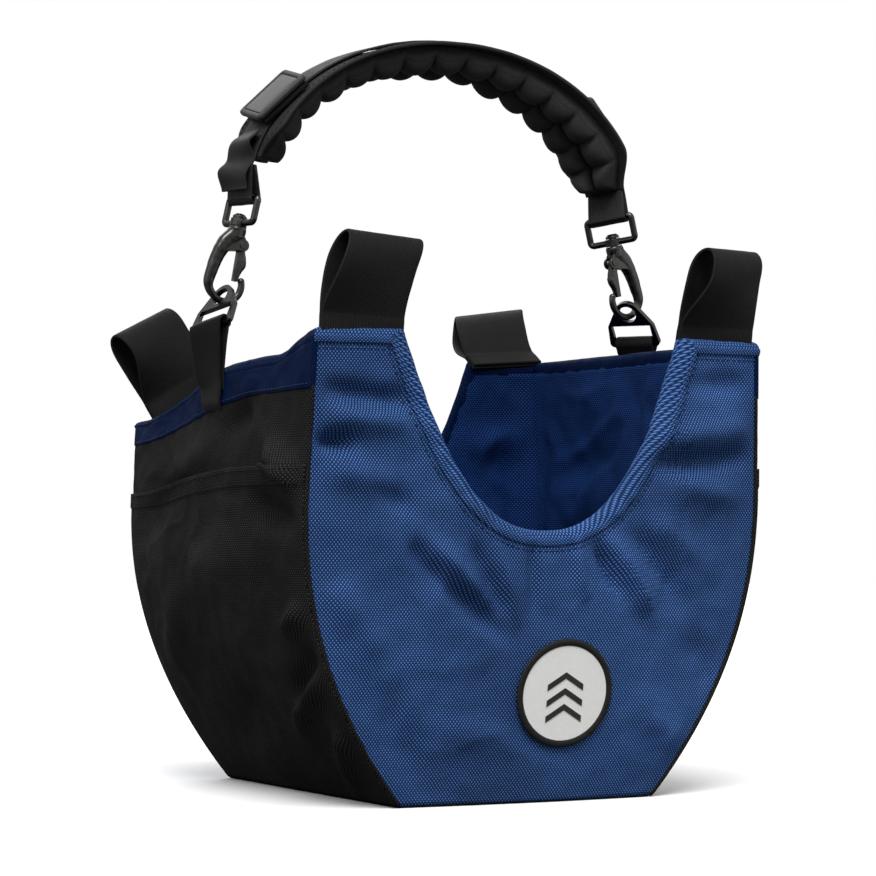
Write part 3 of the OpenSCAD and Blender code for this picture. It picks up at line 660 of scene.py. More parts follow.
def ribbon(name, stations, width, thick, material, body, replaced=()):
    """Webbing through stations of centre, direction across and direction out."""
    profile = subdivided(ribbon_profile(width, thick), 8)
    sections = []
    run = 0.0
    for k, (centre, across, out) in enumerate(stations):
        if k:
            run += (centre - stations[k - 1][0]).length
        section = []
        for a, b in profile:
            curl = 0.12 * lumps(a * 0.15, run * 0.12, len(name))
            section.append((centre + a * across + (b + curl) * out, (a, run)))
        sections.append(section)
    return swept(name, sections, material, body, replaced)


THREAD_R = 0.33
THREAD_RINGS, THREAD_SIDES = 5, 6


def stitches(name, path, normals, body, material=BLACK_THREAD, length=2.6, space=1.1):
    """Thread that dips in and out of the cloth along a path: one small bowed capsule a stitch.
    normals has one direction per point of the path, or is one direction for all."""
    if isinstance(normals, Vector):
        normals = [normals] * len(path)
    points, faces, uvs = [], [], []
    run = [0.0]
    for a, b in zip(path, path[1:]):
        run.append(run[-1] + (b - a).length)
    total = run[-1]
    pitch = length + space
    count = int(total / pitch)
    rings, sides = THREAD_RINGS, THREAD_SIDES
    k = 0
    for s in range(count):
        start = (total - count * pitch) / 2 + s * pitch + space / 2
        base = len(points)
        for j in range(rings):
            f = j / (rings - 1)
            d = start + f * length
            while k < len(path) - 2 and run[k + 1] < d:
                k += 1
            while k > 0 and run[k] > d:
                k -= 1
            t = (d - run[k]) / max(1e-6, run[k + 1] - run[k])
            centre = path[k].lerp(path[k + 1], t)
            up = normals[k].lerp(normals[k + 1], t).normalized()
            along = (path[k + 1] - path[k]).normalized()
            side = along.cross(up).normalized()
            swell = math.sin(math.pi * (0.12 + 0.76 * f))
            centre = centre + up * (THREAD_R * (swell - 0.55))
            for i in range(sides):
                a = 2 * math.pi * i / sides
                points.append(centre + THREAD_R * swell * (math.cos(a) * side + math.sin(a) * up))
                uvs.append((d, i / sides))
        for j in range(rings - 1):
            for i in range(sides):
                a, b = base + j * sides + i, base + j * sides + (i + 1) % sides
                faces.append((a, b, b + sides, a + sides))
        faces.append(tuple(base + i for i in range(sides))[::-1])
        faces.append(tuple(base + (rings - 1) * sides + i for i in range(sides)))
    return build(name, points, faces, uvs, material, body)


# ---------- Walls ----------

PANEL_U, PANEL_V = 132, 96
SIDE_U, SIDE_V = 88, 84


def wall_c(u):
    """Columns of a panel, with one on each corner of its scoop."""
    edge = 0.14
    if u < edge:
        return mix(-1, -SCOOP_C, u / edge)
    if u > 1 - edge:
        return mix(SCOOP_C, 1, (u - 1 + edge) / edge)
    return mix(-SCOOP_C, SCOOP_C, (u - edge) / (1 - 2 * edge))


INNER_ROUND = 9.0


def corner_pull(near):
    """How far the lining stands off its corner, near millimetres away from it."""
    return INNER_ROUND * (1 - clamp(near / (2 * INNER_ROUND))) ** 2


def drape(a, z, edge):
    """Folds of the loose lining at (a, z), flat along its sewn edges."""
    slow = 5.0 * lumps(a * 0.016, z * 0.02, 11.0)
    sharp = abs(lumps(a * 0.022 + z * 0.014, z * 0.02 - a * 0.008, 13.0))
    return (1.2 + slow + 9.0 * max(0.0, 0.24 - sharp)) * smooth(edge / 28)


def make_panel(name, wall, off, floor_z, top_gap, material, replaced, inward=False):
    """Front or back sheet of cloth, from the floor seam to just under the rolled rim."""
    inner = Vector((0, 1 if wall == "front" else -1, 0))

    def place(u, v):
        c = wall_c(u)
        z = mix(floor_z, rim_z(c) - top_gap, v)
        return c * half_w(z), z

    def point(u, v):
        x, z = place(u, v)
        p = wall_at(wall, x, z, off)
        if inward:
            near = half_w(z) - off - abs(x)
            p += (corner_pull(near) + drape(x, z, min(near, z, rim_z(x / half_w(z)) - z))) * inner
        return p

    sheet_grid(name, point, PANEL_U, PANEL_V, place, material, replaced, 1.0,
               (wall == "back") != inward)


def side_uv(u, z):
    return mix(-front_d(z), back_d(z), u), climb(z)


def make_side(name, side, off, z0, z1, material, replaced, inward=False, rows=SIDE_V):
    """Sheet of cloth over a gusset, from height z0 to z1."""
    def point(u, v):
        c, z = 2 * u - 1, mix(z0, z1, v)
        p = side_at(side, c, z, off)
        if inward:
            near = (1 - abs(c)) * (front_d(z) + back_d(z)) / 2
            p.x -= side * (corner_pull(near) + drape(p.y + 300 * side, z, min(near, z, z1 - z)))
        return p

    sheet_grid(name, point, SIDE_U, rows, lambda u, v: side_uv(u, mix(z0, z1, v)), material, replaced,
               1.0, (side > 0) != inward)


RIM_REACH = 3


def rim_curve(steps=260):
    """The front or back rim in its own plane: points and directions out of the cloth, corners softened."""
    raw = []
    for i in range(steps + 1):
        c = wall_c(i / steps)
        z = rim_z(c)
        raw.append((c * half_w(z), z))
    out = []
    for i, (x, z) in enumerate(raw):
        a, b = raw[max(0, i - RIM_REACH)], raw[min(steps, i + RIM_REACH)]
        dx, dz = b[0] - a[0], b[1] - a[1]
        size = math.hypot(dx, dz)
        out.append((x, z, -dz / size, dx / size))
    return out


ROLL_R = WALL_T / 2 + 1.2
ROLL_DROP = ROLL_R * 0.9
SEAM_BELOW = 2.2
ROLL_STEPS = 10
HEM_ROWS = 7


def side_line(side, steps, reach, z, off, stand=None):
    """Points across a gusset at one height, up to the share reach of its width either way."""
    shares = [mix(-reach, reach, i / steps) for i in range(steps + 1)]
    return [side_at(side, c, z, off, stand(c) if stand else 0.0) for c in shares]


def roll_section():
    """Distance below the rim line and depth into the wall, down the outside, over and down the inside."""
    section = []
    for i in range(HEM_ROWS):
        f = i / HEM_ROWS
        # The hem puffs up between its stitch line and the rim
        puff = 1.3 * math.sin(math.pi * (0.08 + 0.55 * f)) ** 0.7
        section.append((mix(HEM, 0, f), -0.35 - puff + (1.6 if i == 0 else 0)))
    for i in range(ROLL_STEPS + 1):
        a = math.pi * i / ROLL_STEPS
        section.append((-ROLL_DROP * math.sin(a), WALL_T / 2 - ROLL_R * math.cos(a)))
    for i in range(HEM_ROWS - 1, -1, -1):
        f = i / HEM_ROWS
        puff = 0.9 * math.sin(math.pi * (0.08 + 0.55 * f)) ** 0.7
        section.append((mix(HEM, 0, f), WALL_T + 0.35 + puff - (1.2 if i == 0 else 0)))
    return section


def make_rim(name, wall, replaced, material):
    """Rolled hem along a scooped rim, with its lines of topstitching."""
    section = roll_section()
    curve = rim_curve()
    last = len(curve) - 1
    sign, seed = (-1, 2.0) if wall == "front" else (1, 5.0)

    def at(column, below, depth):
        x, z, nx, nz = column
        return wall_at(wall, x - nx * (below + ROLL_DROP), z - nz * (below + ROLL_DROP), depth)

    def point(u, v):
        below, depth = section[int(round(v * (len(section) - 1)))]
        # Puckers where the thread draws the hem in
        pucker = 0.35 * lumps(u * last * 0.35, below * 0.05, seed)
        return at(curve[int(round(u * last))], below, depth + pucker)

    def uv(u, v):
        x, z, _, _ = curve[int(round(u * last))]
        return x, z + v * 24

    sheet_grid(name, point, last, len(section) - 1, uv, material, replaced, 0.0,
               wall == "back")
    for label, depth, out in (("outer", -0.25, sign), ("inner", WALL_T + 0.25, -sign)):
        stitches(f"{name}_stitches_{label}", [at(column, HEM + SEAM_BELOW, depth) for column in curve],
                 Vector((0, out, 0)), "bag", BLUE_THREAD)


def make_side_rim(name, side, replaced):
    """Rolled hem along the straight rim of a yoke."""
    section = roll_section()
    steps = 120

    def point(u, v):
        below, depth = section[int(round(v * (len(section) - 1)))]
        pucker = 0.35 * lumps(u * 40, below * 0.05, 9.0 + side)
        return side_at(side, mix(-1, 1, u), PEAK_Z - below - ROLL_DROP, depth + pucker)

    def uv(u, v):
        return mix(-TOP_FRONT, TOP_BACK, u), v * 24

    sheet_grid(name, point, steps, len(section) - 1, uv, YOKE, replaced, 0.0, side < 0)
    for label, depth, out in (("outer", -0.75, side), ("inner", WALL_T + 0.25, -side)):
        path = side_line(side, steps, 0.97, PEAK_Z - HEM - SEAM_BELOW - ROLL_DROP, depth)
        stitches(f"{name}_stitches_{label}", path, Vector((out, 0, 0)), "bag", BLUE_THREAD)


def make_pocket(name, side, replaced):
    """Outside pocket with its mouth standing off the gusset, and a folded hem along the mouth."""
    def stand(c, v):
        return 0.3 + POCKET_GAP * math.sin(math.radians(90 * v)) * (1 - c * c) + 1.6

    def height(v):
        return mix(1.2, POCKET_H, v)

    def point(u, v):
        lip = 0.7 * smooth((height(v) - POCKET_H + POCKET_HEM) / 1.5)
        return side_at(side, 2 * u - 1, height(v), 0, stand(2 * u - 1, v) + lip)

    sheet_grid(name, point, SIDE_U, 110, lambda u, v: side_uv(u, height(v)), BLACK, replaced,
               1.8, side < 0)
    for label, row in (("low", POCKET_HEM - 1.5), ("high", 2.5)):
        z = POCKET_H - row
        path = side_line(side, 100, 0.98, z, 0, lambda c: stand(c, z / POCKET_H) + 1.0)
        stitches(f"{name}_stitches_{label}", path, Vector((side, 0, 0)), "bag")


def make_corner_seam(name, side, wall, z0, z1, material):
    """Turned seam where a panel meets a gusset: a soft welt of cloth."""
    sections = []
    steps, sides = 110, 8
    for k in range(steps + 1):
        z = mix(z0, z1, k / steps)
        centre = wall_at(wall, side * half_w(z), z, 0.2)
        r = 1.35 + 0.25 * lumps(z * 0.12, side * 3.0, 1.0)
        sections.append([(centre + Vector((r * c, r * s, 0)), (i * 1.1, climb(z)))
                         for i, (c, s) in enumerate(round_steps(sides))])
    swept(name, sections, material, "bag")


def outline(z, inset, steps=24):
    """Corners and bowed edges of the bottom at height z, counter-clockwise."""
    w, f, b = half_w(z) - inset, front_d(z) - inset, back_d(z) - inset
    shares = [2 * i / steps - 1 for i in range(steps + 1)]
    return ([(c * w, -f - BASE_BELLY * (1 - c * c)) for c in shares]
            + [(-c * w, b + BASE_BELLY * (1 - c * c)) for c in shares])


def make_floor_cloth(name, z, thick, inset, material, replaced, wrinkle=0.0, edge=1.2):
    """Flat cloth with rounded edges, laid as rings that grow from the middle below and close again on top."""
    shares = [1 - (i / 12) ** 1.1 for i in range(12)]
    # Share of the full size, height, how far the edge is drawn in, and ripple
    levels = [(share, z, edge, 0) for share in shares[::-1]]
    levels += [(1, z + edge * 0.3, edge * 0.3, 0), (1, z + thick / 2, 0, 0)]
    levels += [(1, z + thick - edge * 0.3, edge * 0.3, 0)]
    levels += [(share, z + thick, edge, wrinkle if share < 0.98 else 0) for share in shares]
    sections = []
    for share, height, pull, ripple in levels:
        section = []
        for x, y in outline(z, inset):
            k = share * (1 - pull / math.hypot(x, y))
            bump = ripple * lumps(x * share * 0.03, y * share * 0.03, z)
            section.append((Vector((x * k, y * k, height + max(0.0, bump))), (x * k, y * k)))
        sections.append(section)
    swept(name, sections, material, "bag", replaced)


make_panel("front_shell", "front", 0.0, 1.0, 7.0, BLUE, ("front_panel", "front_foam"))
make_panel("back_shell", "back", 0.0, 1.0, 7.0, BLUE, ("back_panel", "back_foam"))
make_panel("front_liner", "front", WALL_T, 6.5, 7.5, SHADED_LINING, ("front_lining",), inward=True)
make_panel("back_liner", "back", WALL_T, 6.5, 7.5, SHADED_LINING, ("back_lining",), inward=True)
make_rim("front_rim", "front", ("front_hem",), BLUE)
make_rim("back_rim", "back", ("back_hem", "loop_tails"), YOKE)
for side, word in SIDES:
    make_side(f"{word}_gusset_cloth", side, 0.0, 1.0, YOKE_Z, BLACK,
              (f"{word}_gusset", f"{word}_foam"))
    make_side(f"{word}_yoke_cloth", side, -0.4, YOKE_Z - 1.5, PEAK_Z - HEM - 3.0, YOKE,
              (f"{word}_yoke",), rows=16)
    make_side(f"{word}_liner", side, WALL_T, 6.5, PEAK_Z - 7.5, SHADED_LINING, (f"{word}_lining",),
              inward=True)
    make_side_rim(f"{word}_rim", side, (f"{word}_hem",))
    make_pocket(f"{word}_pocket_cloth", side, (f"{word}_pocket",))
    for wall in ("front", "back"):
        make_corner_seam(f"{wall}_{word}_seam", side, wall, 1.5, YOKE_Z, BLACK)
        make_corner_seam(f"{wall}_{word}_yoke_seam", side, wall, YOKE_Z, PEAK_Z - 4, YOKE)
    stitches(f"{word}_yoke_stitches", side_line(side, 100, 0.97, YOKE_Z + 1.2, -1.6), Vector((side, 0, 0)),
             "bag", BLUE_THREAD)
make_floor_cloth("base_cloth", 0.0, 2.0, 0.0, BLACK, ("bottom_panel",))
make_floor_cloth("base_liner", 5.6, 1.5, 7.7, SHADED_LINING, ("bottom_lining",), 1.2)


# ---------- Corner loops ----------

LOOP_W, LOOP_T, LOOP_H, LOOP_GAP = 50.0, 2.2, 50.0, 15.0
FOLD_RISE = LOOP_T + 0.6
LOOP_X = SCOOP_W / 2 + LOOP_W / 2
LOOP_ROOT = 9.0


def loop_line(steps=72):
    """The loop's webbing seen along its width: up one ply, round the eye and down the other ply."""
    mid_r = 1.3 * (LOOP_GAP / 2 + LOOP_T) - LOOP_T / 2
    least = LOOP_T / 2 + 0.1
    line = [(least, mix(-LOOP_ROOT, 4, k / 12)) for k in range(13)]
    for k in range(1, steps):
        a = math.radians(20 + 320 * k / steps)
        y = mid_r * math.sin(a) * math.sin(a / 2) ** 1.5
        z = (LOOP_H - LOOP_T / 2) * (1 - math.cos(a)) / 2
        if abs(y) < least:
            y = least if a < math.pi else -least
        line.append((y, max(z, 4.0)))
    line += [(-least, mix(4, -LOOP_ROOT, k / 12)) for k in range(13)]
    # Even out the two seams between the straight plies and the eye
    for _ in range(3):
        middle = [((a[0] + 2 * b[0] + c[0]) / 4, (a[1] + 2 * b[1] + c[1]) / 4)
                  for a, b, c in zip(line, line[1:], line[2:])]
        line = [line[0]] + middle + [line[-1]]
    return line


def make_loop(name, side, wall, lean, roll, skew, lift, yaw):
    """Webbing loop that rises out of the rim. It leans inwards and rolls sideways by angles in degrees, and
    its top goes sideways by skew millimetres and turns by yaw degrees."""
    foot = wall_at(wall, side * LOOP_X, PEAK_Z, WALL_T / 2, False) + Vector((0, 0, FOLD_RISE + lift))
    turn = turned("Y", roll) @ turned("X", lean)
    line = loop_line()
    stations = []
    for k, (y, z) in enumerate(line):
        a, b = line[max(0, k - 1)], line[min(len(line) - 1, k + 1)]
        ty, tz = b[0] - a[0], b[1] - a[1]
        size = math.hypot(ty, tz) or 1.0
        up = max(0.0, z) / LOOP_H
        wobble = 0.5 * lumps(z * 0.05, y * 0.05, len(name) + side)
        tilt = Vector((1, 0.012 * math.sin(z * 0.1 + side), 0.02 * math.sin(z * 0.07))).normalized()
        twist = turn @ turned("Z", yaw * smooth(up * 1.4))
        across = (twist @ Vector((1, 0, 0)).lerp(tilt, smooth((z + 2) / 5))).normalized()
        centre = Vector((skew * up * up + wobble, y, z))
        stations.append((foot + twist @ centre, across, twist @ Vector((0, tz / size, -ty / size))))
    piece = ribbon(f"{name}_web", stations, LOOP_W, LOOP_T - 0.2, WEB, None, (name,))
    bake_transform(piece)


make_loop("loop_front_left", LEFT, "front", 0, 3, 12, 0, 10)
make_loop("loop_front_right", RIGHT, "front", 8, 2, 9, 0, 25)
make_loop("loop_back_left", LEFT, "back", -10, -29, -1, 5.5, 22)
make_loop("loop_back_right", RIGHT, "back", -56, -4, 14, 0, -4)


# ---------- Anchor webbing ----------

EYE_X, SWING_Z, EYE_RISE = 137.0, 286.0, 2.0
RING_LEAN = 35.0
RING_YAW = {LEFT: 22.0, RIGHT: 36.0}
RING_TIP = {LEFT: -12.0, RIGHT: 0.0}
BAR_DROP = 21.75
ANCHOR_T, BAR_CLEAR = 2.0, 2.6
ANCHOR_C = {LEFT: 0.0, RIGHT: 0.12}
WEB_W = 25.0


def ring_turn(side):
    return turned("Z", RING_YAW[side]) @ turned("X", RING_TIP[side]) @ turned("Y", -side * RING_LEAN)


def half_turn(centre, x, y, z, r, a0, a1, steps):
    """Stations of webbing round a bar, from angle a0 to a1 in the plane of x and z."""
    stations = []
    for i in range(steps + 1):
        a = math.radians(mix(a0, a1, i / steps))
        out = math.cos(a) * x + math.sin(a) * z
        stations.append((centre + r * out, y, out))
    return stations


def on_spline(points, k, t):
    """Catmull-Rom point at share t of the way from points[k] to the next."""
    p0, p1, p2, p3 = (points[max(0, min(len(points) - 1, k + d))] for d in (-1, 0, 1, 2))
    return 0.5 * (2 * p1 + (p2 - p0) * t + (2 * p0 - 5 * p1 + 4 * p2 - p3) * t * t
                  + (3 * p1 - p0 - 3 * p2 + p3) * t ** 3)


def smooth_stations(stations, steps=6):
    """Spline through the centres, with directions blended between."""
    centres = [s[0] for s in stations]
    out = []
    for k, ((_, a1, o1), (_, a2, o2)) in enumerate(zip(stations, stations[1:])):
        for t in (i / steps for i in range(steps)):
            out.append((on_spline(centres, k, t), a1.lerp(a2, t).normalized(), o1.lerp(o2, t).normalized()))
    return out + [stations[-1]]


def frame_of(side, m):
    """Directions outwards, backwards and up after the turn m."""
    return m @ Vector((side, 0, 0)), m @ Vector((0, 1, 0)), m @ Vector((0, 0, 1))


def make_anchor(name, side, replaced):
    """Webbing that comes out of the yoke seam, goes over the ring's bar and returns."""
    x, y, z = frame_of(side, ring_turn(side))
    bar = Vector((side * EYE_X, 0, SWING_Z + EYE_RISE)) - BAR_DROP * z
    r = BAR_CLEAR + ANCHOR_T / 2
    out, along = Vector((side, 0, 0)), Vector((0, 1, 0))
    c = ANCHOR_C[side]

    def on_side(zz, off, t, flip):
        y0 = mix(-(front_d(zz) + off), back_d(zz) + off, (c + 1) / 2)
        p = sag(Vector((side * (half_w(zz) + off + SIDE_BELLY), y0, zz)))
        return p, along.lerp(y, t).normalized(), flip * out.lerp(x, t).normalized()

    stations = [
        on_side(YOKE_Z - 3, 0.9, 0, 1),
        on_side(YOKE_Z + 2, 0.4 + 1.7 * ANCHOR_T, 0, 1),
        on_side(YOKE_Z + 15, 0.3 + 2.1 * ANCHOR_T, 0.15, 1),
        on_side(PEAK_Z - 3, 0.3 + 3.4 * ANCHOR_T, 0.55, 1),
        (bar + r * x - 4 * z, y, x),
        *half_turn(bar, x, y, z, r, 0, 180, 8),
        (bar - r * x - 4 * z, y, -x),
        on_side(PEAK_Z - 3, 0.3 + 2.2 * ANCHOR_T, 0.55, -1),
        on_side(YOKE_Z + 13, 0.3 + 0.9 * ANCHOR_T, 0.1, -1),
    ]
    ribbon(name, smooth_stations(stations), WEB_W, ANCHOR_T - 0.3, WEB, "bag", replaced)


for side, word in SIDES:
    make_anchor(f"{word}_anchor_strap", side, (f"{word}_anchor_web",))


# ---------- Handle strap ----------

ARCH_W, ARCH_RISE, ARCH_Z = 239.0, 95.0, 341.0
LEFT_TWIST, RIGHT_TWIST = 10.0, 36.0
WEB_T = 1.8
PAD_W, PAD_CELLS, CELL_H = 50.0, 15, 16.0
PAD_AROUND = 22
FLANGE_W = 6.5
BACKING_LOW, BACKING_T = 6.3, 1.9
WEB_MID = BACKING_LOW + BACKING_T + 0.3 + WEB_T / 2
PAD_FROM, PAD_TO = 16.0, 168.0
WEB_FROM, WEB_TO = 12.0, 169.0
KEEPERS = {"left": 37.0, "right": 147.0}
KEEPER_SKEW = {"left": -13.0, "right": 0.0}
SLACK_FROM, SLACK_TO = 5.0, 24.0
HOOK_LEAN = 13.0
HIGH_BAR = 62.0
LOOP_WIRE = 4.0


def arch_frame(t):
    """Point on the middle of the strap, its direction across and its direction out, at arch angle t."""
    a = math.radians(t)
    p = Vector((-ARCH_W / 2 * math.cos(a), 0, ARCH_Z + ARCH_RISE * math.sin(a)))
    out = Vector((-2 * math.cos(a) / ARCH_W, 0, math.sin(a) / ARCH_RISE)).normalized()
    b = math.radians(LEFT_TWIST * (1 - t / 90) if t < 90 else -RIGHT_TWIST * (t / 90 - 1) ** 1.3)
    side = Vector((0, 1, 0))
    return p, math.cos(b) * side + math.sin(b) * out, math.cos(b) * out - math.sin(b) * side


def strap_at(t, across, out):
    p, a, o = arch_frame(t)
    return p + across * a + out * o


def strap_station(t, depth, flip=1):
    p, a, o = arch_frame(t)
    return p + depth * o, a, flip * o


def web_end(side):
    """The strap's turn round the upper bar of a swivel loop."""
    lean = turned("Y", -side * HOOK_LEAN)
    x, y, z = frame_of(side, lean @ turned("Z", LEFT_TWIST if side < 0 else RIGHT_TWIST))
    bar = Vector((side * EYE_X, 0, SWING_Z)) + lean @ Vector((0, 0, HIGH_BAR))
    return half_turn(bar, x, y, z, LOOP_WIRE / 2 + 0.3 + WEB_T / 2, 0, -180, 10)


def make_strap_webbing():
    """The carrying webbing: over the pad, round both swivel loops, and its ends tucked under."""
    inner = WEB_MID - WEB_T - 0.3
    left = [strap_station(WEB_FROM + 1.5, inner, -1)] + web_end(LEFT)[::-1]
    right = web_end(RIGHT) + [strap_station(WEB_TO - 1.5, inner, -1)]
    middle = [strap_station(mix(WEB_FROM, WEB_TO, i / 50), WEB_MID) for i in range(51)]
    ribbon("strap_web", smooth_stations(left + middle + right, 3), WEB_W, WEB_T - 0.2, STRAP, "handle",
           ("strap_webbing",))


def make_slack():
    """Spare webbing bunched in two soft folds below the left keeper."""
    stations = []
    steps = 60
    for u in (i / steps for i in range(steps + 1)):
        t = mix(SLACK_FROM, SLACK_TO, u)
        lift = 1.7 * (1 - math.cos(4 * math.pi * u)) * (0.85 + 0.3 * u)
        slope = 1.8 * math.sin(4 * math.pi * u)
        p, a, o = arch_frame(t)
        along = (arch_frame(t + 1)[0] - p).normalized()
        lean = (o * 8 - along * slope * 1.6).normalized()
        twist = (a + 0.16 * math.sin(5 * u) * o + 0.08 * math.sin(9 * u) * along).normalized()
        stations.append((p + (WEB_MID + WEB_T + 0.3 + lift) * o, twist, lean))
    ribbon("strap_folds", stations, WEB_W, WEB_T - 0.2, STRAP, "handle", ("strap_slack",))


def pad_share(t):
    """Share of the full width at arch angle t: the pad narrows towards the swivel loops."""
    return mix(0.54, 1, smooth(min(t - PAD_FROM, PAD_TO - t) / 13))


def make_backing():
    """Edge-bound backing of the pad, cupped a little towards the hand."""
    profile = subdivided(ribbon_profile(PAD_W, BACKING_T), 10)
    sections = []
    for i in range(161):
        t = mix(PAD_FROM, PAD_TO, i / 160)
        section = []
        for a, b in profile:
            bound = 0.45 * smooth((abs(a) - PAD_W / 2 + 5.5) / 0.8) * (1 if b > 0 else -1)
            cup = -0.3 * (2 * a / PAD_W) ** 2 + 0.15 * lumps(a * 0.05, t * 0.2, 4.0)
            depth = BACKING_LOW + BACKING_T / 2 + b * 0.8 + bound + cup
            section.append((strap_at(t, a * pad_share(t), depth), (a, i * 1.85)))
        sections.append(section)
    swept("pad_backing_cloth", sections, PAD, "handle", ("pad_backing",))


def cell_depth(t, s, seed):
    """Depth of the pad below its backing at arch angle t and share s across one row."""
    u = (t - PAD_FROM) / (PAD_TO - PAD_FROM)
    cell = u * PAD_CELLS
    n = int(clamp(cell, 0, PAD_CELLS - 1))
    along = abs(math.sin(math.pi * cell)) ** 0.42
    size = 1 + 0.12 * lumps(n * 3.7, seed, 0.5)
    across = (1 - abs(2 * clamp(s) - 1) ** 2.8) ** (1 / 2.8)
    full = CELL_H * size * mix(0.5, 1, along)
    pinch = 0.7 * lumps(cell * 2.3, s * 3, seed) * (1 - along)
    return (full + pinch) * across


def make_pad_row(name, low, high, seed, replaced):
    """One row of pillow cells: a closed tube whose inner face is crowned between the sewn channels."""
    along = 15 * PAD_CELLS
    sections = []
    for i in range(along + 1):
        t = mix(PAD_FROM + 0.2, PAD_TO - 0.2, i / along)
        ends = smooth(min(i, along - i) / 5 + 0.15)
        section = []
        for s in (k / PAD_AROUND for k in range(PAD_AROUND + 1)):
            bulge = 1.2 * math.sin(math.pi * s) * math.cos(math.pi * s)
            depth = cell_depth(t, s, seed) * ends
            p = strap_at(t, (mix(high, low, s) - bulge) * pad_share(t), BACKING_LOW - 0.2 - depth)
            section.append((p, (s * 34, i * 1.32)))
        sections.append(section)
    piece = swept(name, sections, PAD, "handle", replaced)
    return piece


def inflate(piece, frames=14, pressure=3.0, cap=1.6):
    """Cloth simulation that swells the cells between their sewn channels, with each point's travel capped."""
    mesh = piece.data
    before = [v.co.copy() for v in mesh.vertices]
    group = piece.vertex_groups.new(name="sewn")
    around = PAD_AROUND + 1
    rows = len(mesh.vertices) // around
    for j in range(rows):
        cell = j / (rows - 1) * PAD_CELLS
        seam = abs(cell - round(cell)) < 0.07
        sewn = [j * around + k for k in range(around) if seam or k < 2 or k > around - 3]
        group.add(sewn, 1.0, "REPLACE")
    cloth = piece.modifiers.new("swell", "CLOTH")
    rules = cloth.settings
    rules.vertex_group_mass = "sewn"
    rules.effector_weights.gravity = 0
    for key, value in (("use_pressure", True), ("uniform_pressure_force", pressure), ("quality", 4),
                       ("tension_stiffness", 12), ("compression_stiffness", 12), ("bending_stiffness", 0.4),
                       ("mass", 0.15)):
        setattr(rules, key, value)
    cloth.collision_settings.use_collision = False
    cloth.point_cache.frame_start = 1
    cloth.point_cache.frame_end = frames
    scene = bpy.context.scene
    for f in range(1, frames + 1):
        scene.frame_set(f)
    shape = piece.evaluated_get(bpy.context.evaluated_depsgraph_get()).to_mesh()
    after = [v.co.copy() for v in shape.vertices]
    piece.modifiers.remove(cloth)
    scene.frame_set(1)
    for v, old, new in zip(mesh.vertices, before, after):
        move = new - old
        if move.length > cap * MM:
            move = move.normalized() * cap * MM
        v.co = old + move
    piece.vertex_groups.clear()


def make_channels():
    """Thread of the seams that cross the pad's back, seen along the edges of the flange."""
    for word, across in (("front", -PAD_W / 2 + 3.0), ("back", PAD_W / 2 - 3.0)):
        path, normals = [], []
        for i in range(241):
            t = mix(PAD_FROM + 1, PAD_TO - 1, i / 240)
            p, a, o = arch_frame(t)
            path.append(p + across * pad_share(t) * a + (BACKING_LOW + BACKING_T - 0.1) * o)
            normals.append(o)
        stitches(f"flange_stitches_{word}", path, normals, "handle", length=2.8, space=1.2)


KEEPER_LOW = BACKING_LOW + BACKING_T + 0.6
KEEPER_HIGH = WEB_MID + WEB_T / 2 + 0.6
KEEPER_WRAP = 1.3
PLATE_OUT = KEEPER_HIGH + KEEPER_WRAP + 0.3


def keeper_frame(word):
    """The keeper's own frame on the strap: its place and its directions along, across and out."""
    p, across, out = arch_frame(KEEPERS[word])
    turn = Matrix.Rotation(math.radians(KEEPER_SKEW[word]), 3, out)
    across = turn @ across
    return p, across.cross(out), across, out


def make_keeper_band(word, replaced):
    """Rubber channel that bridges the webbing, soft at its corners and edges."""
    p, along, across, out = keeper_frame(word)
    half, high = PLATE_W / 2, KEEPER_HIGH + KEEPER_WRAP
    inner = half - KEEPER_WRAP
    bend = [(math.cos(math.radians(a)), math.sin(math.radians(a))) for a in (90, 60, 30, 0)]
    outside = [(half - 2 + 2 * c, high - 2 + 2 * s) for c, s in bend] + [(half, KEEPER_LOW)]
    inside = [(inner, KEEPER_LOW)] + [(inner - 1 + c, KEEPER_HIGH - 1 + s) for c, s in bend[::-1]]
    arc = outside + inside
    section = arc + [(-a, o) for a, o in arc[::-1]]
    sections = []
    length = PLATE_L / 2 - 2
    for x, shrink in ((-length, 0.3), (-length + 0.3, 0), (0, 0), (length - 0.3, 0), (length, 0.3)):
        sections.append([(p + x * along + (a - math.copysign(shrink, a)) * across + (o - shrink * 0.5) * out,
                          (i * 4.0, x)) for i, (a, o) in enumerate(section)])
    swept(f"{word}_keeper_channel", sections, BAND, "handle", replaced)


def rounded_rect(l, w, r, corner=6):
    """Outline of a rectangle l by w with corners of radius r, counter-clockwise."""
    points = []
    for quarter, (sx, sy) in enumerate(((1, 1), (-1, 1), (-1, -1), (1, -1))):
        for i in range(corner + 1):
            a = math.radians(90 * (quarter + i / corner))
            points.append((sx * (l / 2 - r) + r * math.cos(a), sy * (w / 2 - r) + r * math.sin(a)))
    return points


PLATE_L, PLATE_W, PLATE_T = 38.0, 36.0, 3.4
PLATE_FRAME = 3.5
INSET_T = 1.2


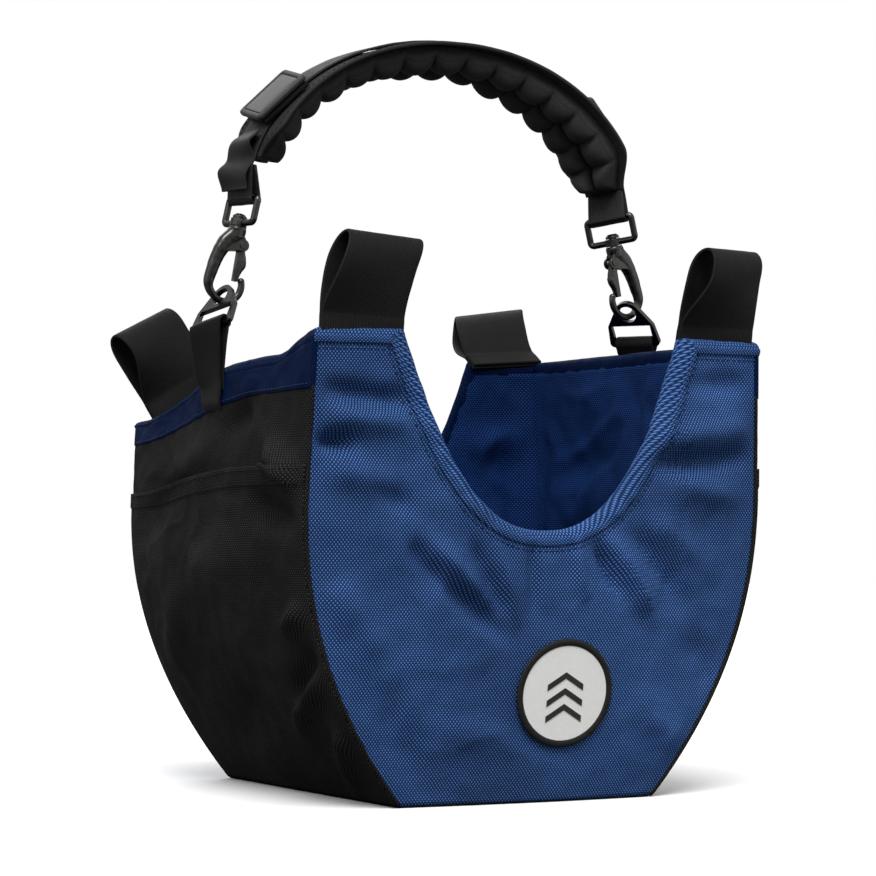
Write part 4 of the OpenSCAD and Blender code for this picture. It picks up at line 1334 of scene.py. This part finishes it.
def make_keeper_plate(word, replaced, inset_replaced):
    """Rubber plate: skirt, rounded rim, a step down to the recess, and the glossy inset in it."""
    p, along, across, out = keeper_frame(word)

    def place(x, y, z):
        return p + x * along + y * across + (PLATE_OUT + z) * out

    def shell(name, l, w, levels, material, replaced):
        sections = []
        for inset, z, r in levels:
            outline = rounded_rect(l - 2 * inset, w - 2 * inset, r)
            sections.append([(place(x, y, z), (i * 1.0, z)) for i, (x, y) in enumerate(outline)])
        swept(name, sections, material, "handle", replaced)

    recess = PLATE_T - INSET_T - 0.3
    rim = PLATE_FRAME
    shell(f"{word}_keeper_frame", PLATE_L, PLATE_W, (
        (0.6, 0.0, 2.6), (0.0, 0.5, 3.0), (0.0, PLATE_T - 1.2, 3.0), (0.35, PLATE_T - 0.4, 2.8),
        (1.2, PLATE_T, 2.4), (rim - 0.7, PLATE_T, 2.2), (rim - 0.15, PLATE_T - 0.35, 2.1),
        (rim, recess + 0.2, 2.0), (rim + 0.4, recess, 1.9)
    ), RUBBER, replaced)
    crown = ((0.3, 0.0), (0.0, 0.2), (0.0, 0.8), (0.3, 1.1), (1.0, 1.2), (6.0, 1.32), (11.0, 1.36))
    shell(f"{word}_keeper_label", PLATE_L - 2 * rim - 0.5, PLATE_W - 2 * rim - 0.5,
          [(inset, recess + 0.05 + z, max(0.8, 2.0 - inset)) for inset, z in crown], INSET,
          inset_replaced)


make_strap_webbing()
make_slack()
make_backing()
for word, low, high in (("front", FLANGE_W - PAD_W / 2, -0.3), ("back", 0.3, PAD_W / 2 - FLANGE_W)):
    row = make_pad_row(f"pad_cells_{word}", low, high, 1.0 if word == "front" else 6.0, (f"pad_row_{word}",))
    inflate(row)
make_channels()
for word in ("left", "right"):
    make_keeper_band(word, (f"{word}_keeper_band",))
    make_keeper_plate(word, (f"{word}_keeper_plate",), (f"{word}_keeper_inset",))


# ---------- Castings of the snap hooks ----------

BOW_R, BOW_WIRE = 10.0, 2.0
HOOK_YAW = 8.0
CAST_STEPS = 6
# Bow: angle in degrees, half width and half thickness
BOW = ((26, 0.5, 0.7), (20, 1.4, 1.5), (5, 1.9, 1.9), (-30, 1.92, 1.92), (-70, 1.86, 1.86),
       (-110, 1.88, 1.88), (-150, 2.4, 2.2), (-180, 2.9, 2.8))
# Spine and gate lever: x, z, half width and half thickness
SPINE = [(-10.2, 16, 3.4, 3.0), (-9.6, 21, 3.7, 3.2), (-8.6, 25.5, 3.9, 3.4), (-7.2, 30, 4.3, 3.7),
         (-5.0, 34.5, 5.0, 3.85), (-2.2, 38, 5.2, 4.1), (-0.3, 41, 5.3, 4.7), (0, 43, 5.1, 5.0),
         (0, 44.3, 4.6, 4.6)]
LEVER = [(5.1, 13.5, 0.9, 1.5), (5.1, 14.6, 1.5, 2.1), (5.2, 17, 2.0, 2.1), (5.6, 20, 2.5, 2.1),
         (6.7, 23.5, 3.0, 2.1), (6.2, 27, 2.8, 2.05), (5.3, 30, 2.5, 2.02), (4.8, 33, 2.2, 2.0),
         (4.5, 35.4, 1.6, 1.9)]


def hook_turn(side):
    return turned("Y", -side * HOOK_LEAN) @ turned("Z", 180 + HOOK_YAW if side > 0 else 0)


def cast_sweep(name, side, body, stations, sides=20, power=2.7):
    """Casting through stations (x, z, half width, half thickness) in the plane of the hook."""
    m = hook_turn(side)
    origin = Vector((side * EYE_X, 0, SWING_Z))
    centres = [Vector((x, 0, z)) for x, z, _, _ in stations]
    sizes = [Vector((w, t)) for _, _, w, t in stations]
    fine = []
    for k in range(len(stations) - 1):
        for t in (i / CAST_STEPS for i in range(CAST_STEPS)):
            fine.append((on_spline(centres, k, t), sizes[k].lerp(sizes[k + 1], smooth(t))))
    fine.append((centres[-1], sizes[-1]))
    sections = []
    for k, (p, size) in enumerate(fine):
        along = (fine[min(k + 1, len(fine) - 1)][0] - fine[max(k - 1, 0)][0]).normalized()
        across = along.cross(Vector((0, 1, 0)))
        section = []
        for i, (c, s) in enumerate(round_steps(sides)):
            u = math.copysign(abs(c) ** (2 / power), c) * size.x
            v = math.copysign(abs(s) ** (2 / power), s) * size.y
            section.append((origin + m @ (p + u * across + Vector((0, v, 0))), (i, k)))
        sections.append(section)
    swept(name, sections, NICKEL, body)


def make_hook(word, side):
    """Tapering bow, broad spine and neck of the hook, and the thumb lever of its gate."""
    bow = []
    for angle, width, thick in BOW:
        r = BOW_R - BOW_WIRE + width
        a = math.radians(angle)
        bow.append((r * math.cos(a), BOW_R + r * math.sin(a), width, thick))
    cast_sweep(f"{word}_hook_casting", side, f"{word}_hook", bow + SPINE)
    cast_sweep(f"{word}_gate_lever", side, f"{word}_gate", LEVER, 16, 3.2)


for side, word in SIDES:
    make_hook(word, side)


# ---------- Patch ----------

PATCH_SIDES = 72


def patch_frame():
    def at(dx, dz):
        return wall_at("front", PATCH_X + dx, PATCH_Z + dz, 0, False)

    across = (at(6, 0) - at(-6, 0)).normalized()
    out = across.cross((at(0, 10) - at(0, -10)).normalized()).normalized()
    return at(0, 0), across, out.cross(across), out


def make_patch():
    """Embroidered disc: overlocked border, satin-stitched face and a plain mark of three chevrons."""
    p, across, up, out = patch_frame()

    def place(x, y, z):
        return p + x * across + y * up + (0.6 + z) * out

    r_mid = PATCH_R - PATCH_RIM / 2
    sections = []
    for i, (c, s) in enumerate(round_steps(220)):
        lump = 0.14 * abs(math.sin(2 * math.pi * i / 220 * 90)) + 0.08 * lumps(i * 0.9, 0, 0)
        section = []
        for k, (cb, sb) in enumerate(round_steps(10)):
            r = r_mid + (PATCH_RIM / 2) * cb
            section.append((place(r * c, r * s, 0.75 + (0.95 + lump) * sb), (k * 0.6, i * 0.9)))
        sections.append(section[::-1])
    swept("patch_border_ring", sections, BORDER, "bag", ("patch_base",), closed=True)
    radii = [0.01] + [r_mid * i / 14 for i in range(1, 15)]
    levels = [(r, 0.95 + 0.12 * (1 - (r / r_mid) ** 2)) for r in radii] + [(r, 0.2) for r in radii[::-1]]
    swept("patch_face_disc", [[(place(r * c, r * s, z), (r * c, r * s)) for c, s in round_steps(PATCH_SIDES)]
                              for r, z in levels], FACE, "bag", ("patch_face",))
    points, faces, uv = [], [], []
    for row in range(3):
        peak = 9 - 9 * row
        half, rise, band = 11.5, 7.0, 3.6
        outline_xy = [(-half, peak - rise), (0, peak), (half, peak - rise), (half, peak - rise - band),
                      (0, peak - band), (-half, peak - rise - band)]
        base = len(points)
        for z in (1.0, 1.35):
            for x, y in outline_xy:
                points.append(place(x, y + 3, z))
                uv.append((x, y))
        faces += [(base + 6, base + 11, base + 10, base + 7), (base + 7, base + 10, base + 9, base + 8)]
        faces += [(base + i, base + (i + 1) % 6, base + 6 + (i + 1) % 6, base + 6 + i) for i in range(6)]
        faces += [(base + 1, base + 4, base + 5, base + 0), (base + 2, base + 3, base + 4, base + 1)]
    build("patch_chevrons", points, faces, uv, MARK, "bag", smooth_shade=False)


make_patch()


# ---------- CAD pieces that keep their shape ----------

def dress(node, material):
    item = bpy.data.objects.get(node)
    if item:
        item.data.materials.clear()
        item.data.materials.append(material)


for word in ("left", "right"):
    for part in ("ring", "swivel_loop", "hook", "swivel_stud", "gate"):
        dress(f"{word}_{part}", NICKEL)
    dress(f"{word}_gate_pin", NICKEL)
    dress(f"{word}_gate_spring", STEEL)
dress("bottom_board", BOARD)
for word in ("front", "back", "left", "right"):
    dress(f"{word}_foam", FOAM)
dress("loop_tails", WEB)
